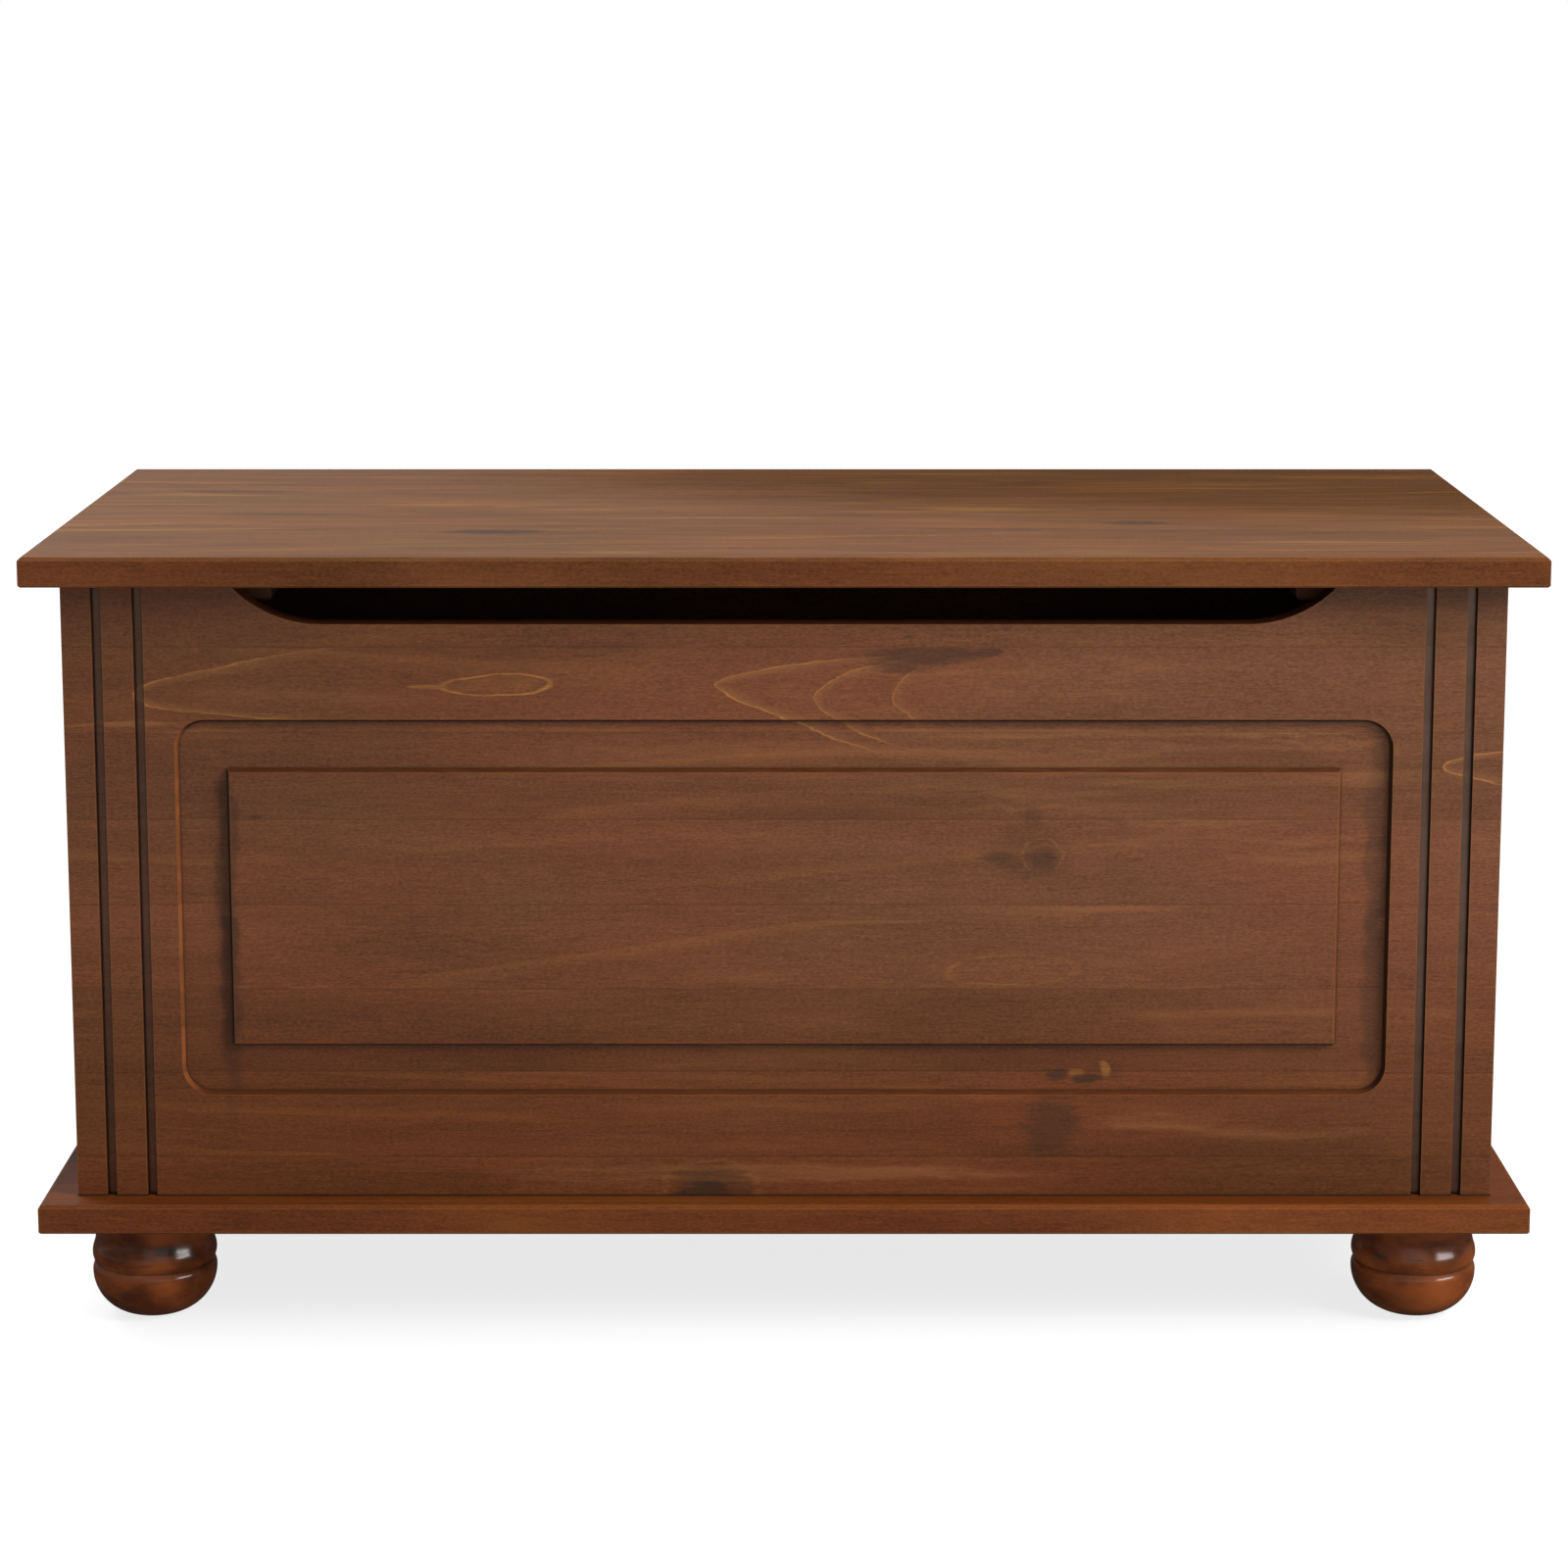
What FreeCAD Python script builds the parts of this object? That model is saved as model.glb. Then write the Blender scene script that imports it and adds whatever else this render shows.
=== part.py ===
import FreeCAD, Part
import math
import os
import re

import Sketcher

# A pine storage chest: a plinth board on four turned feet, four walls, a lid hinged at the rear
# and held open by two slotted stays.
# Millimetres, +Z up, the front faces -Y. The origin is on the floor under the middle of the whole chest.

# Driving sizes. Each can be changed by itself.
SIZES = {
    # the lid and the base board, which share one outline
    "board_width": 900,
    "board_depth": 420,
    "base_thickness": 18,
    "lid_thickness": 18,
    "upper_chamfer": 2,
    "under_chamfer": 1.2,
    # the four walls
    "wall_height": 376,
    "wall_thickness": 18,
    "end_overhang": 21,
    "front_overhang": 20,
    "lid_gap": 1,
    # the routed front: two flutes at each end, a sunk border round a raised field, a hand slot
    "flute_width": 6,
    "flute_depth": 5,
    "flute_inset": 20.8,
    "flute_pitch": 24.5,
    "border_end_inset": 65.5,
    "border_foot_inset": 63.5,
    "border_height": 231,
    "border_width": 32,
    "border_depth": 4.5,
    "border_slope": 20,
    "border_radius": 18,
    "slot_depth": 24,
    "slot_mouth": 658,
    "slot_flat": 550,
    # the turned feet: a collar that swells below its neck, a groove and a bun
    "foot_height": 67,
    "foot_radius": 38.1,
    "neck_inset": 2.6,
    "collar_hollow": 30,
    "collar_swell": 15,
    "collar_drop": 28.1,
    "groove_depth": 1.8,
    "groove_step": 6,
    "bun_step": 5.1,
    "foot_inset": 60,
    # the hanger bolt of each foot and the threaded insert that takes it
    "foot_bolt_radius": 4,
    "foot_bolt_in_foot": 30,
    "foot_bolt_in_base": 11,
    "foot_bolt_bevel": 1,
    "insert_radius": 6,
    "insert_length": 13,
    # knock-down fittings in the four corners
    "cam_end_inset": 48,
    "dowel_pitch": 64,
    "cam_reach": 34,
    "cam_radius": 7.4,
    "cam_length": 12.5,
    "cam_bolt_radius": 3,
    "cam_bolt_in_wall": 11,
    "cam_bolt_shank_radius": 2.6,
    "cam_bolt_neck_radius": 1.7,
    "cam_bolt_head_radius": 3.4,
    "cam_bolt_head": 3,
    "cam_bore_radius": 3.6,
    "cam_slot_length": 7.4,
    "cam_slot_width": 1.8,
    "cam_slot_depth": 1.8,
    "dowel_radius": 4,
    "dowel_in_wall": 11,
    "dowel_in_side": 19,
    "dowel_bevel": 1,
    # countersunk screws
    "base_screw_radius": 2.1,
    "base_screw_head": 4.2,
    "base_screw_length": 50,
    "base_screw_inset": 95,
    "base_screw_inner_share": 0.125,
    "batten_screw_radius": 1.8,
    "batten_screw_head": 3.6,
    "batten_screw_length": 30,
    "small_screw_radius": 1.5,
    "small_screw_head": 2.9,
    "small_screw_length": 14,
    "screw_recess_share": 0.42,
    "screw_recess_bar_share": 0.14,
    # the two battens under the lid
    "batten_width": 44,
    "batten_thickness": 16,
    "batten_end_inset": 120,
    "batten_front_gap": 15,
    "batten_rear_gap": 20,
    "batten_screw_inset": 45,
    "batten_chamfer": 2,
    # soft dots between the walls and the lid
    "dot_radius": 5,
    "dot_inset": 50,
    "side_dot_share": 0.6,
    # butt hinges on the rear face
    "hinge_end_inset": 150,
    "hinge_length": 60,
    "knuckle_count": 5,
    "knuckle_radius": 3,
    "knuckle_gap": 0.3,
    "hinge_pin_radius": 1.5,
    "barrel_gap": 0.3,
    "leaf_thickness": 1.6,
    "body_leaf_height": 30,
    "lid_leaf_height": 15,
    "leaf_screw_rise": 9.5,
    "leaf_screw_drop": 19,
    "leaf_screw_inset": 10,
    # slotted lid stays; the arm hangs free of the base board by a little less than its floor room
    "lid_open_angle": 95,
    "stay_floor_room": 52,
    "stay_drop": 14.5,
    "stay_closed_angle": 22,
    "stay_half_width": 7,
    "stay_thickness": 2,
    "stay_wall_gap": 1.5,
    "stay_pin_radius": 2.5,
    "stay_head_radius": 5.5,
    "stay_head": 1.5,
    "stay_pin_in_wall": 12,
    "stay_root_radius": 2,
    "bracket_length": 46,
    "bracket_width": 18,
    "bracket_thickness": 2,
    "bracket_tip_radius": 7,
    "bracket_screw_pitch": 30,
    # fits
    "fastener_clearance": 0.1,
    "hole_overrun": 0.5,
    "pivot_clearance": 0.1,
    "slot_clearance": 0.3,
    "plate_gap": 0.3,
}

# Sizes and places worked out from the driving ones.
DERIVED = {
    "body_width": "board_width - 2 * end_overhang",
    "wall_base": "foot_height + base_thickness",
    "wall_top": "wall_base + wall_height",
    "lid_under": "wall_top + lid_gap",
    "barrel_reach": "2 * knuckle_radius + barrel_gap",
    "board_y": "0 - barrel_reach / 2",
    "rear_y": "board_y + board_depth / 2",
    "front_y": "board_y - board_depth / 2",
    "front_panel_y": "front_y + front_overhang",
    "front_inner_y": "front_panel_y + wall_thickness",
    "back_inner_y": "rear_y - wall_thickness",
    "side_length": "back_inner_y - front_inner_y",
    "side_y": "(front_inner_y + back_inner_y) / 2",
    "inner_x": "body_width / 2 - wall_thickness",
    "wall_middle_x": "body_width / 2 - wall_thickness / 2",
    "axis_y": "rear_y + barrel_gap + knuckle_radius",
    "axis_z": "wall_top + lid_gap / 2",
    "stay_half_angle": "(stay_closed_angle + lid_open_angle) / 2",
    "stay_reach": "(wall_height - stay_floor_room) / (2 * sin(stay_half_angle))",
    "stay_pivot_y": "axis_y - stay_reach * cos(asin(stay_drop / stay_reach))",
    "stay_pivot_z": "axis_z - stay_drop",
    "stay_pin_angle": "asin(stay_drop / stay_reach) + stay_closed_angle * 1 deg",
    "stay_pin_y": "axis_y - stay_reach * cos(stay_pin_angle)",
    "stay_pin_z": "axis_z - stay_reach * sin(stay_pin_angle)",
    "stay_span_closed": "2 * stay_reach * sin(stay_closed_angle / 2)",
    "stay_span_open": "2 * stay_reach * sin(stay_half_angle)",
    "stay_tilt": "stay_closed_angle / 2 * 1 deg + asin(stay_drop / stay_reach)",
    "stay_outer_x": "inner_x - stay_wall_gap",
    "stay_inner_x": "stay_outer_x - stay_thickness",
    "bracket_outer_x": "stay_inner_x - plate_gap",
    "bracket_inner_x": "bracket_outer_x - bracket_thickness",
    "batten_x": "board_width / 2 - batten_end_inset",
    "batten_front": "front_inner_y + batten_front_gap",
    "batten_rear": "back_inner_y - batten_rear_gap",
    "hinge_x": "board_width / 2 - hinge_end_inset",
    "knuckle_pitch": "hinge_length / knuckle_count",
}

LEFT, RIGHT = -1, 1
SIDES = {"left": LEFT, "right": RIGHT}
ENDS = {"front": -1, "rear": 1}
UP = FreeCAD.Vector(0, 0, 1)
DOWN = FreeCAD.Vector(0, 0, -1)
ALIGNED = 0.99
FULL_TURN = 360
COUNTERSINK_ANGLE = 90
HOLE = "{0} + fastener_clearance"
OUT_OF_SHEET = re.compile(r"[a-z_]+(?![a-z_(])")

doc = FreeCAD.newDocument("StorageChest")
sheet = doc.addObject("Spreadsheet::Sheet", "Sizes")
for row, (alias, number) in enumerate(SIZES.items(), start=1):
    sheet.set(f"A{row}", alias)
    sheet.set(f"B{row}", str(number))
    sheet.setAlias(f"B{row}", alias)
doc.recompute()

parts = []


def bound(formula):
    """A formula in the names above, written out with the cells of the sheet."""
    def spell(match):
        word = match.group()
        if word in DERIVED:
            return f"({bound(DERIVED[word])})"
        return f"Sizes.{word}" if word in SIZES else word
    return OUT_OF_SHEET.sub(spell, str(formula))


def value(formula):
    """The number that a formula gives, in millimetres or degrees."""
    result = sheet.evalExpression(bound(formula))
    return float(getattr(result, "Value", result))


def bind(thing, **formulas):
    for name, formula in formulas.items():
        thing.setExpression(name, bound(formula))


def place(part, x="0", y="0", z="0", turn_axis=None, turn="0"):
    if turn_axis:
        part.Placement.Rotation = FreeCAD.Rotation(FreeCAD.Vector(*turn_axis), value(turn))
        part.setExpression("Placement.Rotation.Angle", bound(turn))
    for name, formula in {"x": x, "y": y, "z": z}.items():
        part.setExpression(f"Placement.Base.{name}", bound(formula))
    parts.append(part)
    return part


def new_body(name):
    body = doc.addObject("PartDesign::Body", name)
    body.Label = name
    return body


def new_sketch(body, name, role, offset="0"):
    """A sketch on one of the body's own planes, moved along the plane's normal.

    XY_Plane faces +Z, YZ_Plane faces +X, and XZ_Plane faces -Y with X across and Z up.
    """
    plane = next(item for item in body.Origin.OriginFeatures if item.Role == role)
    sketch = body.newObject("Sketcher::SketchObject", name)
    sketch.AttachmentSupport = [(plane, "")]
    sketch.MapMode = "FlatFace"
    sketch.setExpression("AttachmentOffset.Base.z", bound(offset))
    return sketch


def tie(sketch, kind, geometry, point, formula):
    """One horizontal or vertical distance from the sketch's origin."""
    number = sketch.addConstraint(Sketcher.Constraint(kind, -1, 1, geometry, point, value(formula)))
    sketch.setExpression(f"Constraints[{number}]", bound(formula))


def arc_between(start, end, radius, turn):
    """An arc of under half a circle; turn is 1 where it runs counter-clockwise from start to end."""
    chord = end - start
    height = math.sqrt(radius ** 2 - chord.Length ** 2 / 4)
    across = FreeCAD.Vector(-chord.y, chord.x, 0).normalize()
    centre = (start + end) / 2 + across * height * turn
    first, last = (start, end) if turn > 0 else (end, start)
    angles = [math.atan2(point.y - centre.y, point.x - centre.x) for point in (first, last)]
    if angles[1] < angles[0]:
        angles[1] += math.tau
    return Part.ArcOfCircle(Part.Circle(centre, UP, radius), *angles)


def outline(sketch, corners, arcs=None):
    """A closed outline through corners given as formulas.

    arcs holds, for the corner where it starts, each arc's radius and its turn.
    """
    arcs = arcs or {}
    points = [FreeCAD.Vector(value(x), value(y), 0) for x, y in corners]
    strokes = []
    for index, start in enumerate(points):
        end = points[(index + 1) % len(points)]
        if index in arcs:
            radius, turn = arcs[index]
            shape = arc_between(start, end, value(radius), turn)
            head, tail = (1, 2) if turn > 0 else (2, 1)
        else:
            shape = Part.LineSegment(start, end)
            head, tail = 1, 2
        strokes.append((sketch.addGeometry(shape, False), head, tail))
    for index, (geometry, head, _) in enumerate(strokes):
        before, _, tail = strokes[index - 1]
        sketch.addConstraint(Sketcher.Constraint("Coincident", before, tail, geometry, head))
        tie(sketch, "DistanceX", geometry, head, corners[index][0])
        tie(sketch, "DistanceY", geometry, head, corners[index][1])
        if index in arcs:
            number = sketch.addConstraint(Sketcher.Constraint("Radius", geometry, value(arcs[index][0])))
            sketch.setExpression(f"Constraints[{number}]", bound(arcs[index][0]))
    return sketch


def rectangle(sketch, left, right, bottom, top):
    return outline(sketch, [(left, bottom), (right, bottom), (right, top), (left, top)])


def circles(sketch, centres, radius):
    for x, y in centres:
        circle = Part.Circle(FreeCAD.Vector(value(x), value(y), 0), UP, value(radius))
        geometry = sketch.addGeometry(circle, False)
        tie(sketch, "DistanceX", geometry, 3, x)
        tie(sketch, "DistanceY", geometry, 3, y)
        number = sketch.addConstraint(Sketcher.Constraint("Radius", geometry, value(radius)))
        sketch.setExpression(f"Constraints[{number}]", bound(radius))
    return sketch


def pad(body, sketch, length, along_normal=True, taper="0"):
    feature = body.newObject("PartDesign::Pad", sketch.Name + "Pad")
    feature.Profile = sketch
    feature.Reversed = not along_normal
    bind(feature, Length=length, TaperAngle=taper)
    return feature


def pocket(body, sketch, depth, along_normal=False, taper="0"):
    """Cuts from the sketch into the body; the volume has to shrink."""
    doc.recompute()
    before = body.Shape.Volume
    feature = body.newObject("PartDesign::Pocket", sketch.Name + "Pocket")
    feature.Profile = sketch
    feature.Reversed = along_normal
    bind(feature, Length=depth, TaperAngle=taper)
    doc.recompute()
    if not feature.Shape.Volume < before:
        raise RuntimeError(f"{feature.Label} cuts nothing")
    return feature


def drill(body, sketch, radius, depth, along_normal, head_radius=None):
    """Round holes at the sketch's circles, countersunk where a head radius is given."""
    doc.recompute()
    before = body.Shape.Volume
    feature = body.newObject("PartDesign::Hole", sketch.Name + "Hole")
    feature.Profile = sketch
    doc.recompute()
    feature.Threaded = False
    feature.DepthType = "Dimension"
    feature.DrillPoint = "Flat"
    feature.Reversed = along_normal
    bind(feature, Diameter=f"2 * ({radius})", Depth=depth)
    if head_radius:
        feature.HoleCutType = "Countersink"
        feature.HoleCutCountersinkAngle = COUNTERSINK_ANGLE
        bind(feature, HoleCutDiameter=f"2 * ({head_radius})")
    doc.recompute()
    if not feature.Shape.Volume < before:
        raise RuntimeError(f"{feature.Label} drills nothing")
    return feature


def chamfer(body, size, way):
    """Chamfers every edge of the flat faces that look the given way."""
    doc.recompute()
    base = body.Tip
    names = []
    for index, face in enumerate(base.Shape.Faces, start=1):
        if isinstance(face.Surface, Part.Plane) and face.normalAt(0, 0).dot(way) > ALIGNED:
            names.append(f"Face{index}")
    feature = body.newObject("PartDesign::Chamfer", f"{body.Name}_chamfer")
    feature.Base = (base, names)
    bind(feature, Size=size)
    doc.recompute()
    return feature


def turned(points):
    """A solid of revolution about Z from (radius, height) points."""
    corners = [FreeCAD.Vector(radius, 0, height) for radius, height in points]
    face = Part.Face(Part.makePolygon(corners + corners[:1]))
    return face.revolve(FreeCAD.Vector(0, 0, 0), UP, FULL_TURN)


def group(name, shape, places, direction):
    """Copies of one shape, its own +Z turned to the direction, as one sub-part."""
    turn = FreeCAD.Rotation(UP, FreeCAD.Vector(*direction))
    copies = []
    for x, y, z in places:
        copy = shape.copy()
        copy.Placement = FreeCAD.Placement(FreeCAD.Vector(value(x), value(y), value(z)), turn)
        copies.append(copy)
    return feature_of(name, copies)


def feature_of(name, solids):
    part = doc.addObject("Part::Feature", name)
    part.Label = name
    part.Shape = Part.makeCompound(solids)
    parts.append(part)
    return part


def countersunk_screw(radius, head_radius, length):
    """A screw whose head is flush at the origin and whose point is up +Z, with a cross recess."""
    shank = value(radius)
    head = value(head_radius)
    reach = value(length)
    taper = head - shank
    body = turned([(0, 0), (head, 0), (shank, taper), (shank, reach - 2 * shank), (0, reach)])
    deep = taper
    long = head * value("screw_recess_share")
    wide = head * value("screw_recess_bar_share")
    for half_x, half_y in ((long, wide), (wide, long)):
        bar = Part.makeBox(2 * half_x, 2 * half_y, deep, FreeCAD.Vector(-half_x, -half_y, 0))
        body = body.cut(bar)
    return body


def corners_of(x, y):
    """The four places at plus and minus x and y, about the middle of the boards."""
    return [(f"{sign_x} * ({x})", f"{sign_y} * ({y})") for sign_x in (-1, 1) for sign_y in (-1, 1)]


# Places that a hole and its fastener share, about the middle of the boards.
foot_places = corners_of("board_width / 2 - foot_inset", "board_depth / 2 - foot_inset")
front_wall_y = "front_panel_y + wall_thickness / 2 - board_y"
back_wall_y = "rear_y - wall_thickness / 2 - board_y"
long_screw_x = [
    f"{sign} * ({x})"
    for x in ("body_width / 2 - base_screw_inset", "body_width * base_screw_inner_share") for sign in (-1, 1)
]
side_screw_y = [f"side_y - board_y + {sign} * (side_length / 2 - base_screw_inset)" for sign in (-1, 1)]
cam_heights = ["cam_end_inset", "wall_height - cam_end_inset"]
dowel_heights = ["cam_end_inset + dowel_pitch", "wall_height - cam_end_inset - dowel_pitch"]
batten_middle = "(batten_front + batten_rear) / 2 - board_y"
batten_screw_y = [
    "batten_front + batten_screw_inset - board_y",
    batten_middle,
    "batten_rear - batten_screw_inset - board_y",
]
leaf_screw_x = [f"{sign} * (hinge_length / 2 - leaf_screw_inset)" for sign in (-1, 1)]
bracket_middle_y = "stay_pivot_y - board_y"
bracket_screw_x = "bracket_inner_x - bracket_width / 2"
bracket_screw_y = [f"{bracket_middle_y} + {sign} * bracket_screw_pitch / 2" for sign in (-1, 1)]


def base_board():
    body = new_body("base_board")
    edge = new_sketch(body, "BaseOutline", "XY_Plane")
    rectangle(edge, "0 - board_width / 2", "board_width / 2", "0 - board_depth / 2", "board_depth / 2")
    pad(body, edge, "base_thickness")
    chamfer(body, "upper_chamfer", UP)
    chamfer(body, "under_chamfer", DOWN)
    inserts = circles(new_sketch(body, "BaseInserts", "XY_Plane"), foot_places, HOLE.format("insert_radius"))
    pocket(body, inserts, "insert_length + hole_overrun", along_normal=True)
    places = [(x, y) for x in long_screw_x for y in (front_wall_y, back_wall_y)]
    places += [(f"{sign} * wall_middle_x", y) for sign in (-1, 1) for y in side_screw_y]
    holes = circles(new_sketch(body, "BaseScrews", "XY_Plane"), places, HOLE.format("base_screw_radius"))
    drill(body, holes, HOLE.format("base_screw_radius"), "base_thickness", True,
          HOLE.format("base_screw_head"))
    return place(body, y="board_y", z="foot_height")


def pilot_holes(body, name, places):
    """Holes for the base screws, up from the lower edge of a wall."""
    holes = circles(new_sketch(body, name, "XY_Plane"), places, HOLE.format("base_screw_radius"))
    pocket(body, holes, "base_screw_length - base_thickness + hole_overrun", along_normal=True)


def corner_holes(body, name, offset, along_normal):
    """Holes for cam bolts and dowels in the inner face of a long wall."""
    for kind, radius, depth, heights in (
        ("Cams", "cam_bolt_radius", "cam_bolt_in_wall", cam_heights),
        ("Dowels", "dowel_radius", "dowel_in_wall", dowel_heights),
    ):
        places = [(f"{sign} * wall_middle_x", height) for sign in (-1, 1) for height in heights]
        holes = circles(new_sketch(body, name + kind, "XZ_Plane", offset), places, HOLE.format(radius))
        pocket(body, holes, f"{depth} + hole_overrun", along_normal)


def front_panel():
    """The routed front. Its outer face is at y = 0 and its lower edge at z = 0."""
    body = new_body("front_panel")
    board = new_sketch(body, "FrontOutline", "XZ_Plane")
    slot_rise = "((slot_mouth - slot_flat) / 2)"
    slot_radius = f"({slot_rise} ^ 2 + slot_depth ^ 2) / (2 * slot_depth)"
    floor = "wall_height - slot_depth"
    outline(board, [
        ("0 - body_width / 2", "0"),
        ("body_width / 2", "0"),
        ("body_width / 2", "wall_height"),
        ("slot_mouth / 2", "wall_height"),
        ("slot_flat / 2", floor),
        ("0 - slot_flat / 2", floor),
        ("0 - slot_mouth / 2", "wall_height"),
        ("0 - body_width / 2", "wall_height"),
    ], {3: (slot_radius, -1), 5: (slot_radius, -1)})
    pad(body, board, "wall_thickness", along_normal=False)

    half = "(body_width / 2 - border_end_inset)"
    top = "(border_foot_inset + border_height)"
    ring = new_sketch(body, "Border", "XZ_Plane")
    outline(ring, [
        (f"border_radius - {half}", "border_foot_inset"),
        (f"{half} - border_radius", "border_foot_inset"),
        (half, "border_foot_inset + border_radius"),
        (half, f"{top} - border_radius"),
        (f"{half} - border_radius", top),
        (f"border_radius - {half}", top),
        (f"0 - {half}", f"{top} - border_radius"),
        (f"0 - {half}", "border_foot_inset + border_radius"),
    ], {index: ("border_radius", 1) for index in (1, 3, 5, 7)})
    pocket(body, ring, "border_depth", taper="0 - border_slope")
    field = new_sketch(body, "Field", "XZ_Plane")
    rectangle(field, f"border_width - {half}", f"{half} - border_width",
              "border_foot_inset + border_width", f"{top} - border_width")
    pad(body, field, "border_depth", along_normal=False, taper="border_slope")

    flutes = new_sketch(body, "Flutes", "XZ_Plane")
    for centre in ("flute_inset", "flute_inset + flute_pitch"):
        left = f"{centre} - body_width / 2 - flute_width / 2"
        rectangle(flutes, left, f"{left} + flute_width", "0", "wall_height")
    cut = pocket(body, flutes, "flute_depth")
    mirror = body.newObject("PartDesign::Mirrored", "FlutesMirrored")
    mirror.Originals = [cut]
    mirror.MirrorPlane = (flutes, ["V_Axis"])
    body.Tip = mirror

    corner_holes(body, "Front", "0 - wall_thickness", along_normal=True)
    pilot_holes(body, "FrontPilots", [(x, "wall_thickness / 2") for x in long_screw_x])
    return place(body, y="front_panel_y", z="wall_base")


def back_panel():
    """The plain back. Its inner face is at y = 0."""
    body = new_body("back_panel")
    board = new_sketch(body, "BackOutline", "XZ_Plane")
    rectangle(board, "0 - body_width / 2", "body_width / 2", "0", "wall_height")
    pad(body, board, "wall_thickness", along_normal=False)
    corner_holes(body, "Back", "0", along_normal=False)
    pilot_holes(body, "BackPilots", [(x, "wall_thickness / 2") for x in long_screw_x])
    places = [
        (f"{sign} * hinge_x + {x}", "axis_z - wall_base - leaf_screw_drop")
        for sign in (-1, 1) for x in leaf_screw_x
    ]
    holes = circles(new_sketch(body, "BackLeafScrews", "XZ_Plane", "0 - wall_thickness"), places,
                    HOLE.format("small_screw_radius"))
    pocket(body, holes, "small_screw_length - leaf_thickness + hole_overrun", along_normal=True)
    return place(body, y="back_inner_y", z="wall_base")


def side_panel(name, side):
    """A side wall between front and back. Its inner face is at x = 0 and its middle at y = 0."""
    body = new_body(f"side_panel_{name}")
    board = new_sketch(body, f"Side_{name}", "YZ_Plane")
    rectangle(board, "0 - side_length / 2", "side_length / 2", "0", "wall_height")
    pad(body, board, "wall_thickness", along_normal=side > 0)

    places = [(f"{end} * (side_length / 2 - cam_reach)", height) for end in (-1, 1) for height in cam_heights]
    cams = circles(new_sketch(body, f"SideCams_{name}", "YZ_Plane"), places, HOLE.format("cam_radius"))
    pocket(body, cams, "cam_length + fastener_clearance", along_normal=side > 0)
    middle = f"{side} * wall_thickness / 2"
    for end in (-1, 1):
        for kind, radius, depth, heights in (
            ("Bolts", "cam_bore_radius", "cam_reach", cam_heights),
            ("Dowels", HOLE.format("dowel_radius"), "dowel_in_side + hole_overrun", dowel_heights),
        ):
            sketch = new_sketch(body, f"Side{kind}_{name}", "XZ_Plane", f"{-end} * side_length / 2")
            circles(sketch, [(middle, height) for height in heights], radius)
            pocket(body, sketch, depth, along_normal=end > 0)

    pilot_holes(body, f"SidePilots_{name}", [(middle, f"{y} - side_y + board_y") for y in side_screw_y])
    pin = circles(new_sketch(body, f"SidePin_{name}", "YZ_Plane"),
                  [("stay_pin_y - side_y", "stay_pin_z - wall_base")], HOLE.format("stay_root_radius"))
    pocket(body, pin, "stay_pin_in_wall + hole_overrun", along_normal=side > 0)
    return place(body, x=f"{side} * inner_x", y="side_y", z="wall_base")


def foot(name, x, y):
    """A turned foot: a swelling collar, a V groove and a bun, with a bore for its hanger bolt."""
    body = new_body(name)
    collar_round = "(groove_depth ^ 2 + groove_step ^ 2) / (2 * groove_depth)"
    bun_round = "(groove_depth ^ 2 + bun_step ^ 2) / (2 * groove_depth)"
    lean = "(neck_inset / (collar_swell + collar_hollow))"
    rise = f"sqrt(1 - (1 - {lean}) ^ 2)"
    bun_height = "(foot_height - collar_drop - groove_step - bun_step)"
    profile = new_sketch(body, f"{name}_profile", "XZ_Plane")
    outline(profile, [
        ("foot_bolt_radius + fastener_clearance", "0"),
        ("foot_bolt_radius + fastener_clearance", "0 - foot_bolt_in_foot - hole_overrun"),
        ("0", "0 - foot_bolt_in_foot - hole_overrun"),
        ("0", "0 - foot_height"),
        (f"foot_radius - {bun_height}", "0 - foot_height"),
        ("foot_radius", f"{bun_height} - foot_height"),
        ("foot_radius - groove_depth", "0 - collar_drop - groove_step"),
        ("foot_radius", "0 - collar_drop"),
        (f"foot_radius - collar_swell * {lean}", f"collar_swell * {rise} - collar_drop"),
        ("foot_radius - neck_inset", f"(collar_swell + collar_hollow) * {rise} - collar_drop"),
        ("foot_radius - neck_inset", "0"),
    ], {4: (bun_height, 1), 5: (bun_round, 1), 6: (collar_round, 1), 7: ("collar_swell", 1),
        8: ("collar_hollow", -1)})
    turning = body.newObject("PartDesign::Revolution", f"{name}_turning")
    turning.Profile = profile
    turning.ReferenceAxis = (profile, ["V_Axis"])
    turning.Angle = FULL_TURN
    return place(body, x=x, y=f"{y} + board_y", z="foot_height")


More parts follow.
